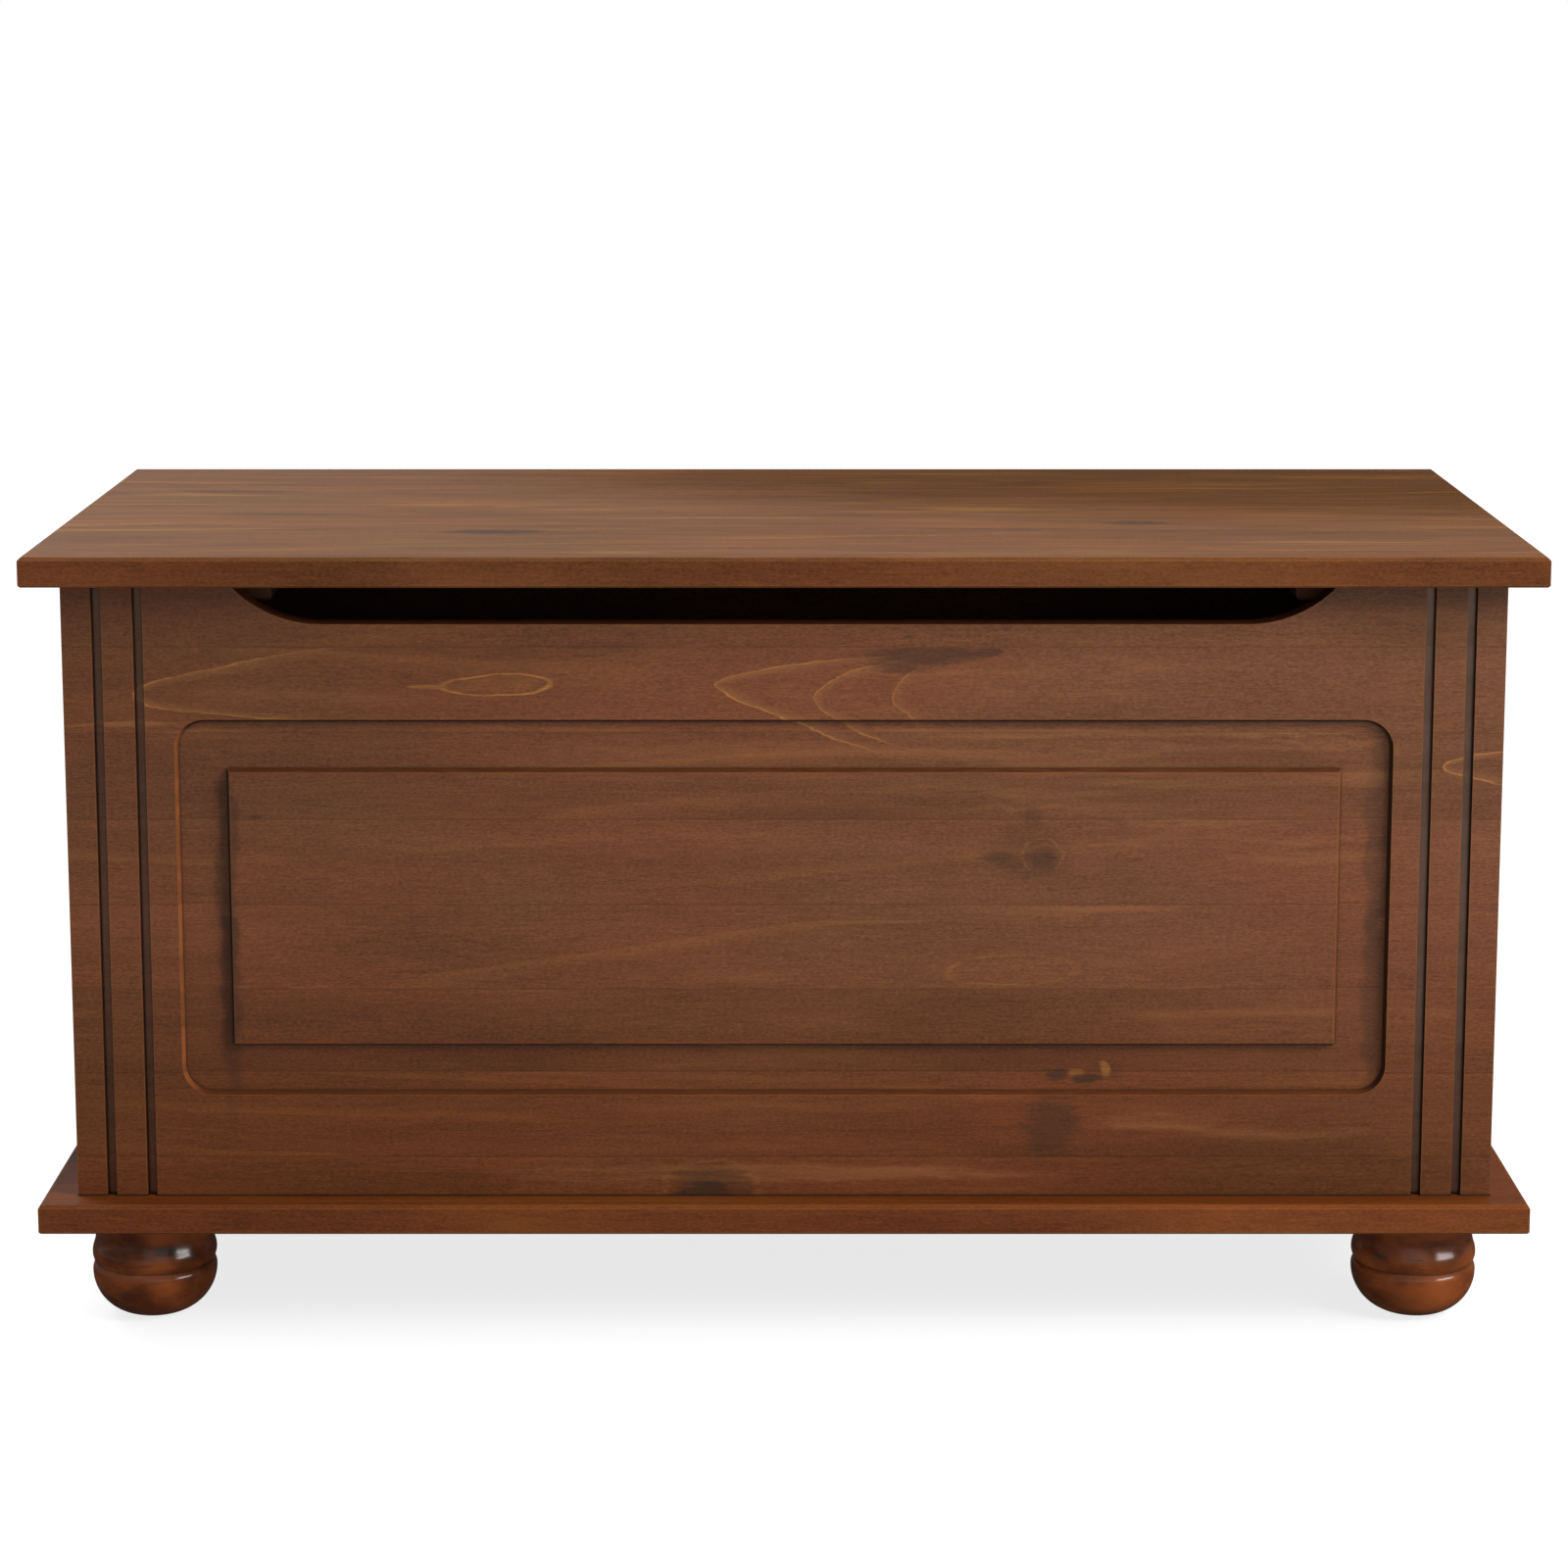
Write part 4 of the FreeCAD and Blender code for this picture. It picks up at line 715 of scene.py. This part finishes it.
class PineBoard:
    """The material of one stained and lacquered board, laid up from the bare wood outwards."""

    def __init__(self, name, axes, seed, stave_width, stave_shift, contrast, line_count):
        self.wood = bpy.context.scene.chest_wood
        self.material, self.graph, self.shader = new_material(name)
        _, axis = object_axes(self.graph)
        _, facing = object_axes(self.graph, "Normal")
        self.along, self.across, self.through = (axis[letter] for letter in axes)
        self.faces_along, self.faces_up, self.faces_out = (facing[letter] for letter in axes)
        self.place = self.graph.group("Grain place", {
            "Along": self.along, "Across": self.across, "Through": self.through, "Seed": seed,
        })
        staves = {"Across": self.across, "Stave Width": stave_width, "Stave Shift": stave_shift,
                  "Seed": seed}
        self.grain = self.graph.group("Board grain", {
            **staves, "Place": self.place["Place"], "Contrast": contrast,
            "Line Count": line_count,
        })
        self.cut = self.graph.group("Cut grain", {
            **staves, "Through": self.through, "Normal Along": self.faces_along,
            "Normal Through": self.faces_out, "Wobble": self.place["Even Wobble"],
        })
        early = self.graph.mix(self.grain["Hue"], self.wood.brown, self.wood.russet)
        self.colour = self.graph.mix(self.grain["Tone"], self.wood.umber, early)
        self.soaked = []

    def lay(self, share, tint, blend="MIX"):
        self.colour = self.graph.mix(share, self.colour, tint, blend)

    def mark(self, group, row, wobble, **others):
        return self.graph.group(group, {
            "Along": self.place["Along"], "Across": self.place["Across"],
            "Wobble": self.place[wobble], **sockets(row), **others,
        })

    def ovals(self, rows, wobble, raggedness):
        return [self.mark("Knot", row, wobble, Raggedness=raggedness) for row in rows]

    def top_face(self):
        return self.graph.ease(self.faces_out, 0.5, 0.9)

    def lacquer(self, line_strength, tint, tint_shares):
        """Growth lines and glue seams, and the lacquer's tint over them."""
        graph, grain, wood = self.graph, self.grain, self.wood
        self.lay(graph.times(grain["Gold"], 0.30), wood.honey)
        self.lay(graph.times(grain["Line"], line_strength), wood.gold)
        self.lay(graph.times(grain["Seam"], 0.40), wood.umber)
        low, high, bottom, top = tint_shares
        self.lay(graph.ease(self.across, bottom, top, low, high), tint, "MULTIPLY")

    def fade_top(self):
        """The top that has yellowed, with fine dark and pale threads."""
        graph, top = self.graph, self.top_face()
        self.lay(top, self.wood.faded, "MULTIPLY")
        thread = graph.noise(self.place["Place"], THREAD_WAVES)
        dark = graph.ease(thread, 0.49, 0.34, 0.0, DARK_THREAD)
        pale = graph.ease(thread, 0.52, 0.67, 0.0, PALE_THREAD)
        self.lay(graph.times(top, dark), self.wood.umber)
        self.lay(graph.times(top, pale), self.wood.honey)

    def soak(self, painted_shade_marks, painted_shadows, aged_top):
        """Painted shade where the boards are made darker, and painted shadows beside the routed
        walls; a lid's underside gets no painted shade.
        """
        for mark in self.ovals(painted_shade_marks, "Even Wobble", 0.1):
            share = mark["Core"]
            self.soaked.append(share)
            if aged_top:
                share = self.graph.times(share, self.graph.ease(self.faces_out, -0.9, -0.5))
            self.lay(share, self.wood.soaked, "MULTIPLY")
        # Painted shadows beside the routed walls, in the knots' colour.
        for mark in self.ovals(painted_shadows, "Even Wobble", 0.1):
            self.lay(mark["Core"], self.wood.knot)

    def lighten(self, flames, gold, honey):
        """Soft pale streaks, some of them painted light, and the hard late wood of flames and
        golden marks over them.
        """
        graph, grain, place = self.graph, self.grain, self.place
        patchy = graph.ease(grain["Streak"], 0.36, 0.60, 0.20, 1.0)
        soft = [graph.times(mark["Core"], patchy) for mark in self.ovals(honey, "Wobble", 0.9)]
        bright = []
        for mark in self.ovals(gold, "Even Wobble", 0.35):
            bright += [mark["Core"], mark["Rim"]]
        for row in flames:
            flame = self.mark("Flame", row, "Wobble")
            bright.append(flame["Line"])
            soft.append(graph.times(flame["Glow"], 0.40))
        if soft:
            self.lay(graph.largest(*soft), self.wood.honey)
        if bright:
            broken = graph.times(graph.ease(grain["Fibre"], 0.25, 0.65, 0.55, 0.90),
                                 graph.ease(place["Even Wobble"], 0.36, 0.60, 0.45, 1.0))
            self.lay(graph.times(graph.largest(*bright), broken), self.wood.gold)

    def draw_knots(self, knots):
        """Frayed dark hearts, and a pale ring round those that have a rim."""
        graph, grain = self.graph, self.grain
        dark = graph.largest(*(mark["Core"] for mark in self.ovals(knots, "Wobble", 1.1)))
        frayed = graph.times(graph.ease(grain["Fibre"], 0.30, 0.62, 1.0, 0.88),
                             graph.ease(grain["Streak"], 0.36, 0.64, 1.0, 0.90))
        self.lay(graph.times(dark, frayed), self.wood.knot)
        for mark in self.ovals([row for row in knots if row.rim], "Even Wobble", 0.5):
            ring = graph.times(mark["Rim"], graph.ease(self.place["Wobble"], 0.40, 0.62))
            self.lay(graph.times(ring, 0.6), self.wood.honey)

    def saw_ends(self):
        """End grain on the faces sawn across the board."""
        graph, cut, wood = self.graph, self.cut, self.wood
        sawn = graph.mix(graph.times(cut["Ring"], 0.55), wood.cut, wood.umber)
        self.lay(graph.times(cut["End"], 0.62), sawn)

    def left_to_right(self, left, right):
        return self.graph.ease(self.along, -0.1, 0.1, left, right)

    def stain_routing(self):
        """Routed walls: more stain in the cut where they face up, painted light where they face
        right, painted shade where they face left or down.
        """
        graph, grain, wood = self.graph, self.grain, self.wood
        soak = graph.times(graph.ease(self.faces_up, 0.3, 0.8, 0.0, ROUTED_SOAK),
                           graph.ease(grain["Fibre"], 0.35, 0.60, 0.6, 1.15))
        self.lay(graph.times(self.cut["Routed"], soak), wood.cut)
        # Painted light on the routed walls that face right, more of it on the left half.
        fresh = graph.times(graph.ease(self.faces_along, 0.3, 0.8, 0.0, 0.50),
                            graph.ease(graph.size(self.along), *BORDER_END),
                            self.left_to_right(1.0, 0.50),
                            graph.ease(grain["Streak"], 0.40, 0.58, 0.50, 1.0))
        self.lay(fresh, wood.fresh)
        # Painted shade on the routed walls that face left or down.
        painted_wall_shade = graph.largest(graph.ease(self.faces_along, -0.3, -0.8),
                              graph.ease(self.faces_up, -0.3, -0.8))
        self.lay(graph.times(self.cut["Routed"], painted_wall_shade, 0.70), wood.grime)

    def wax_flutes(self):
        """Painted light on the flutes' floors, more of it on the right and higher up."""
        graph = self.graph
        floor = graph.times(
            graph.ease(graph.size(self.along), FLUTES_BEYOND, FLUTES_BEYOND + 0.0002),
            graph.ease(self.through, FLUTES_BEHIND, FLUTES_BEHIND + 0.0004))
        floor = graph.times(floor, graph.ease(self.faces_out, -0.5, -0.9),
                            self.left_to_right(*FLUTE_LIGHT_SHARES),
                            graph.ease(self.across, 0.11, 0.25, 0.45, 1.0),
                            graph.ease(self.grain["Streak"], 0.30, 0.62, 0.75, 1.0))
        self.lay(floor, self.wood.wax)

    def wear_edges(self):
        """Painted highlight on sharp edges, painted shade in inner corners."""
        graph, wood = self.graph, self.wood
        # Painted highlight on sharp edges.
        edge = graph.group("Arris", {"Radius": wood.arris})["Edge"]
        self.lay(graph.times(edge, 0.24), wood.gold)
        # Painted shade in inner corners.
        hollow = graph.group("Hollow", {"Reach": wood.hollow})["Depth"]
        self.lay(graph.times(hollow, 0.92), wood.grime)

    def surface(self, aged_top):
        """Roughness, shine and the fibres felt through the lacquer."""
        graph, grain, wood = self.graph, self.grain, self.wood
        rough = graph.vary(wood.gloss_roughness, grain["Fibre"], 0.16)
        height = graph.scale(grain["Seam"], -0.8, grain["Fibre"])
        graph.feed(self.shader, {
            "Base Color": self.colour, "Roughness": graph.scale(grain["Tone"], 0.06, rough),
            "Specular IOR Level": wood.sheen_level,
            "Normal": bump(graph, height, wood.fibre_depth),
        })
        if aged_top:
            # The clear coat thins where shade is painted on the lid's top.
            thin = graph.ease(graph.largest(*self.soaked), 0.0, 0.8, TOP_COAT, TOP_COAT * 0.12)
            graph.feed(self.shader, {
                "Coat Weight": graph.times(thin, self.top_face()), "Coat Roughness": 0.60,
                "Specular IOR Level": 0.02,
            })


def stained_pine(name, axes, seed, stave_width, stave_shift, flames=(), knots=(), gold=(),
                 honey=(), painted_shade_marks=(), painted_shadows=(), line_strength=0.12, line_count=7.0, contrast=1.0,
                 tint=None, tint_shares=(0.4, 0.4, 0.0, 1.0), routed=False, aged_top=False):
    """A board with the marks given for it; tint_shares holds its first share and its last one,
    and the places across the board where it has them."""
    board = PineBoard(name, axes, seed, stave_width, stave_shift, contrast, line_count)
    board.lacquer(line_strength, board.wood.amber if tint is None else tint, tint_shares)
    if aged_top:
        board.fade_top()
    board.soak(painted_shade_marks, painted_shadows, aged_top)
    board.lighten(flames, gold, honey)
    if knots:
        board.draw_knots(knots)
    board.saw_ends()
    if routed:
        board.stain_routing()
        board.wax_flutes()
    board.wear_edges()
    board.surface(aged_top)
    return board.material


class CHEST_OT_grain_groups(bpy.types.Operator):
    """Builds the shader node groups that the chest's materials share."""

    bl_idname = "chest.grain_groups"
    bl_label = "Build shared grain and wear groups"

    def execute(self, context):
        for make in (grain_place_group, board_grain_group, flame_group, knot_group,
                     cut_grain_group, corner_shade_group, arris_group, plating_group):
            make()
        return {"FINISHED"}


class CHEST_OT_front_board(bpy.types.Operator):
    """Stains the routed front board."""

    bl_idname = "chest.front_board"
    bl_label = "Stain front board"

    def execute(self, context):
        material = stained_pine(
            "Front pine", ALONG_X_UP_Z, 1.3, context.scene.chest_wood.stave_width, 0.1095,
            FRONT_FLAMES, FRONT_KNOTS, FRONT_GOLD, FRONT_PALE_AND_LIT, FRONT_PAINTED_SHADE, FRONT_PAINTED_SHADOWS,
            line_strength=0.10, contrast=0.85, tint_shares=(0.9, 0.0, 0.12, 0.27), routed=True)
        put_on(material, "front_panel")
        return {"FINISHED"}


class CHEST_OT_walls(bpy.types.Operator):
    """Stains the back and the side walls."""

    bl_idname = "chest.walls"
    bl_label = "Stain back and sides"

    def execute(self, context):
        wood = context.scene.chest_wood
        put_on(stained_pine("Back pine", ALONG_X_UP_Z, 5.9, wood.stave_width, 0.093,
                            BACK_FLAMES, BACK_KNOTS), "back_panel")
        for side, seed in (("left", 8.4), ("right", 11.7)):
            material = stained_pine(f"Side pine {side}", ALONG_Y_UP_Z, seed, wood.stave_width,
                                    0.1095, SIDE_FLAMES, SIDE_KNOTS)
            put_on(material, f"side_panel_{side}")
        return {"FINISHED"}


class CHEST_OT_lid_and_base(bpy.types.Operator):
    """Stains the lid, its battens and the base board."""

    bl_idname = "chest.lid_and_base"
    bl_label = "Stain lid and base"

    def execute(self, context):
        wood = context.scene.chest_wood
        material = stained_pine(
            "Lid pine", ALONG_X_BACK_Y, 2.6, wood.lid_stave_width, -0.1377, LID_FLAMES,
            LID_KNOTS, LID_GOLD, LID_HONEY, LID_PAINTED_SHADE, line_strength=0.34, line_count=6.0,
            contrast=1.3, tint_shares=(0.25, 0.0, -0.2132, -0.2080), aged_top=True)
        put_on(material, "lid_panel")
        material = stained_pine(
            "Base pine", ALONG_X_BACK_Y, 3.7, wood.lid_stave_width, -0.1200, honey=BASE_PALE_AND_HIGHLIGHT,
            painted_shade_marks=BASE_PAINTED_SHADE, contrast=1.3, tint=wood.base_amber,
            tint_shares=(1.0, 1.0, 0.0, 1.0))
        put_on(material, "base_board")
        put_on(stained_pine("Batten pine", ALONG_Y_ACROSS_X, 4.8, 1.0, -0.5),
               "lid_batten_left", "lid_batten_right")
        return {"FINISHED"}


class CHEST_OT_feet(bpy.types.Operator):
    """Stains and lacquers the four turned feet."""

    bl_idname = "chest.feet"
    bl_label = "Finish turned feet"

    def execute(self, context):
        turning = context.scene.chest_turning
        material, graph, shader = new_material("Turned foot")
        place = object_axes(graph)[0]
        cloud = graph.noise(graph.shift(place, (0.03, 0.0, 0.0)), (24, 24, 44), detail=4.0,
                            distortion=0.3)
        fibre = graph.noise(place, (260, 260, 1300))
        streak = graph.noise(graph.shift(place, (3.1, 0.7, 1.9)), (34, 34, 190), distortion=0.4)
        tone = graph.vary(graph.ease(cloud, 0.28, 0.74), fibre, 0.45, clamp=True)
        colour = graph.mix(tone, turning.dark, turning.red)
        streaked = graph.times(graph.ease(streak, 0.63, 0.72), 0.7)
        colour = graph.mix(streaked, colour, turning.slate)
        # Painted shade in the feet's grooves, in the slate colour.
        hollow = graph.group("Hollow", {"Reach": 0.004})["Depth"]
        graph.feed(shader, {
            "Base Color": graph.mix(graph.times(hollow, 0.7), colour, turning.slate),
            "Roughness": graph.scale(fibre, 0.12, 0.44), "Specular IOR Level": 0.02,
            "Coat Weight": turning.coat, "Coat Roughness": 0.19,
            "Normal": bump(graph, fibre, 0.00012, 0.4),
        })
        put_on(material, *nodes_named("foot_front", "foot_rear"))
        return {"FINISHED"}


class CHEST_OT_brass(bpy.types.Operator):
    """Gives the hinges, their screws and the foot inserts aged brass."""

    bl_idname = "chest.brass"
    bl_label = "Age the brass"

    def execute(self, context):
        fittings = context.scene.chest_fittings
        material, graph, shader = new_material("Aged brass")
        wear = graph.group("Plating", {"Place": object_axes(graph)[0], "Seed": 2.0})
        edge = graph.group("Arris", {"Radius": 0.0005})["Edge"]
        film = graph.scale(wear["Cloud"], 0.40, graph.times(wear["Pit"], 0.30), clamp=True)
        film = graph.times(film, graph.ease(edge, 0.0, 1.0, 1.0, 0.2))
        graph.feed(shader, {
            "Base Color": graph.mix(film, fittings.brass, fittings.patina), "Metallic": 1.0,
            "Roughness": graph.scale(film, 0.22, 0.26),
            "Normal": bump(graph, wear["Brush"], 0.00004),
        })
        put_on(material, *nodes_named("hinge_"), "body_leaf_screws", "lid_leaf_screws",
               "foot_inserts")
        return {"FINISHED"}


class CHEST_OT_steel(bpy.types.Operator):
    """Gives the stays, brackets, cams, bolts and screws zinc plating."""

    bl_idname = "chest.steel"
    bl_label = "Plate the steel"

    def execute(self, context):
        fittings = context.scene.chest_fittings
        material, graph, shader = new_material("Zinc plate")
        wear = graph.group("Plating", {"Place": object_axes(graph)[0], "Seed": 0.0})
        dull = graph.scale(wear["Cloud"], 0.8, graph.times(wear["Pit"], 0.4), clamp=True)
        rough = graph.scale(wear["Brush"], 0.10, graph.scale(dull, 0.20, 0.24))
        graph.feed(shader, {
            "Base Color": graph.mix(dull, fittings.zinc, fittings.zinc_dull), "Metallic": 1.0,
            "Roughness": rough, "Normal": bump(graph, wear["Brush"], 0.00003),
        })
        put_on(material, *nodes_named("stay_"), "bracket_screws", "batten_screws", "base_screws",
               "cam_bolts", "cam_nuts", "foot_bolts")
        return {"FINISHED"}


class CHEST_OT_dowels_and_dots(bpy.types.Operator):
    """Finishes the beech dowels and the soft dots."""

    bl_idname = "chest.dowels_and_dots"
    bl_label = "Finish dowels and dots"

    def execute(self, context):
        fittings = context.scene.chest_fittings
        material, graph, shader = new_material("Bare beech")
        fleck = graph.noise(object_axes(graph)[0], (900, 110, 900))
        dark = darker(fittings.beech, 0.62)
        graph.feed(shader, {
            "Base Color": graph.mix(graph.ease(fleck, 0.42, 0.70), fittings.beech, dark),
            "Roughness": 0.62, "Normal": bump(graph, fleck, 0.00010),
        })
        put_on(material, "corner_dowels")

        material, graph, shader = new_material("Soft dot")
        haze = graph.noise(object_axes(graph)[0], (700, 700, 700))
        worn = darker(fittings.polymer, 0.75)
        graph.feed(shader, {
            "Base Color": graph.mix(graph.ease(haze, 0.35, 0.70), fittings.polymer, worn),
            "Roughness": graph.scale(haze, 0.25, 0.35), "Normal": bump(graph, haze, 0.00008),
        })
        put_on(material, "lid_dots")
        return {"FINISHED"}


class CHEST_OT_studio(bpy.types.Operator):
    """Builds the pale floor, the soft lamps and the camera."""

    bl_idname = "chest.studio"
    bl_label = "Build studio and camera"

    def execute(self, context):
        studio = context.scene.chest_studio
        self.lay_floor(studio)
        self.light_world(context, studio)
        for lamp in LAMPS:
            self.hang_lamp(lamp, getattr(studio, lamp.power))
        camera = bpy.data.objects.new("Camera", bpy.data.cameras.new("Camera"))
        context.scene.collection.objects.link(camera)
        camera.location = studio.camera_place
        camera.rotation_euler = (math.pi / 2 - studio.camera_tilt, 0, 0)
        camera.data.sensor_width = SENSOR_WIDTH
        camera.data.lens = studio.lens
        camera.data.shift_y = studio.shift
        context.scene.camera = camera
        context.scene.view_settings.view_transform = "Standard"
        return {"FINISHED"}

    def lay_floor(self, studio):
        """A wide floor that shows white to the camera, with a painted shadow under the chest and
        the chest's real shadow over it.
        """
        mesh = bpy.data.meshes.new("Floor")
        reach = FLOOR_REACH
        corners = [(-reach, -reach, 0), (reach, -reach, 0), (reach, reach, 0), (-reach, reach, 0)]
        mesh.from_pydata(corners, [], [(0, 1, 2, 3)])
        floor = bpy.data.objects.new("Floor", mesh)
        bpy.context.scene.collection.objects.link(floor)
        material, graph, shader = new_material("Pale floor")
        place, axis = object_axes(graph)
        haze = graph.noise(place, (1.4, 1.4, 1.0))
        graph.feed(shader, {
            "Base Color": graph.mix(haze, studio.floor, darker(studio.floor, 0.97)),
            "Roughness": 0.9, "Specular IOR Level": 0.0,
        })
        # A painted shadow under the chest, fading out beside and before it.
        beside = graph.largest(graph.ease(graph.size(axis["X"]), *SHADE_WIDTH),
                               graph.ease(graph.size(axis["Y"]), *SHADE_DEPTH))
        glow = self.emission(graph, graph.blend(beside, studio.shade, 1.0))
        veil = graph.node("ShaderNodeBsdfDiffuse", {"Color": VEIL})
        seen = graph.node("ShaderNodeAddShader", {0: glow, 1: veil.outputs[0]}).outputs[0]
        far = graph.vector_math("LENGTH", place)["Value"]
        # In reflections the floor shows a painted shade near the chest and turns white far off.
        white = self.emission(graph, graph.ease(far, 0.50, 2.40, 0.06, 1.0))
        path = graph.node("ShaderNodeLightPath").outputs
        mirrored = graph.largest(path["Is Glossy Ray"], path["Is Transmission Ray"])
        base = self.switch(graph, mirrored, shader.outputs[0], white)
        whole = self.switch(graph, path["Is Camera Ray"], base, seen)
        graph.feed(material.node_tree.nodes["Material Output"], {"Surface": whole})
        mesh.materials.append(material)

    def light_world(self, context, studio):
        """Even light all round, white where the camera or a reflection looks at it."""
        world = bpy.data.worlds.new("Studio")
        context.scene.world = world
        world.use_nodes = True
        graph = Graph(world.node_tree)
        world.node_tree.nodes.clear()
        way = graph.node("ShaderNodeTexCoord").outputs["Generated"]
        way = graph.node("ShaderNodeSeparateXYZ", {0: way}).outputs
        wall = graph.ease(way["X"], -0.30, 0.25, studio.horizon, studio.far_side)
        even, white, ceiling = (
            graph.node("ShaderNodeBackground", {"Color": WHITE, "Strength": strength}).outputs[0]
            for strength in (studio.sky, 1.0, graph.ease(way["Z"], 0.15, 0.80, wall, 1.0)))
        path = graph.node("ShaderNodeLightPath").outputs
        seen = graph.largest(path["Is Camera Ray"], path["Is Transmission Ray"])
        soft = self.switch(graph, path["Is Glossy Ray"], even, ceiling)
        graph.node("ShaderNodeOutputWorld", {"Surface": self.switch(graph, seen, soft, white)})

    def emission(self, graph, strength):
        return graph.node("ShaderNodeEmission", {"Color": WHITE, "Strength": strength}).outputs[0]

    def switch(self, graph, share, first, second):
        return graph.node("ShaderNodeMixShader", {0: share, 1: first, 2: second}).outputs[0]

    def hang_lamp(self, lamp, power):
        light = bpy.data.lights.new(lamp.name, "AREA")
        light.shape = "RECTANGLE"
        light.size, light.size_y = lamp.size
        light.energy = power
        holder = bpy.data.objects.new(lamp.name, light)
        bpy.context.scene.collection.objects.link(holder)
        holder.location = lamp.place
        way = (CAD_BOX[0] + CAD_BOX[1]) / 2 - Vector(lamp.place)
        holder.rotation_euler = way.to_track_quat("-Z", "Y").to_euler()
        if lamp.hidden:
            setattr(holder, lamp.hidden, False)


class CHEST_PT_sidebar(bpy.types.Panel):
    """Lists the chest's settings and steps."""

    bl_idname = "CHEST_PT_sidebar"
    bl_label = "Storage Chest"
    bl_space_type = "VIEW_3D"
    bl_region_type = "UI"
    bl_category = "Chest"

    def draw(self, context):
        for name, settings in SETTINGS.items():
            box = self.layout.box()
            box.label(text=settings.__doc__)
            group = getattr(context.scene, name)
            for label in settings.__annotations__:
                box.prop(group, label)
        for step in STEPS:
            self.layout.operator(step.bl_idname)


SETTINGS = {
    "chest_wood": ChestWood,
    "chest_turning": ChestTurning,
    "chest_fittings": ChestFittings,
    "chest_studio": ChestStudio,
}

STEPS = (
    CHEST_OT_grain_groups,
    CHEST_OT_front_board,
    CHEST_OT_walls,
    CHEST_OT_lid_and_base,
    CHEST_OT_feet,
    CHEST_OT_brass,
    CHEST_OT_steel,
    CHEST_OT_dowels_and_dots,
    CHEST_OT_studio,
)


def register():
    for kind in (*SETTINGS.values(), *STEPS, CHEST_PT_sidebar):
        bpy.utils.register_class(kind)
    for name, kind in SETTINGS.items():
        setattr(bpy.types.Scene, name, PointerProperty(type=kind))


def unregister():
    for name in SETTINGS:
        delattr(bpy.types.Scene, name)
    for kind in (CHEST_PT_sidebar, *reversed(STEPS), *reversed(SETTINGS.values())):
        bpy.utils.unregister_class(kind)


def main():
    register()
    for step in STEPS:
        family, action = step.bl_idname.split(".")
        getattr(getattr(bpy.ops, family), action)()


if __name__ == "__main__":
    main()
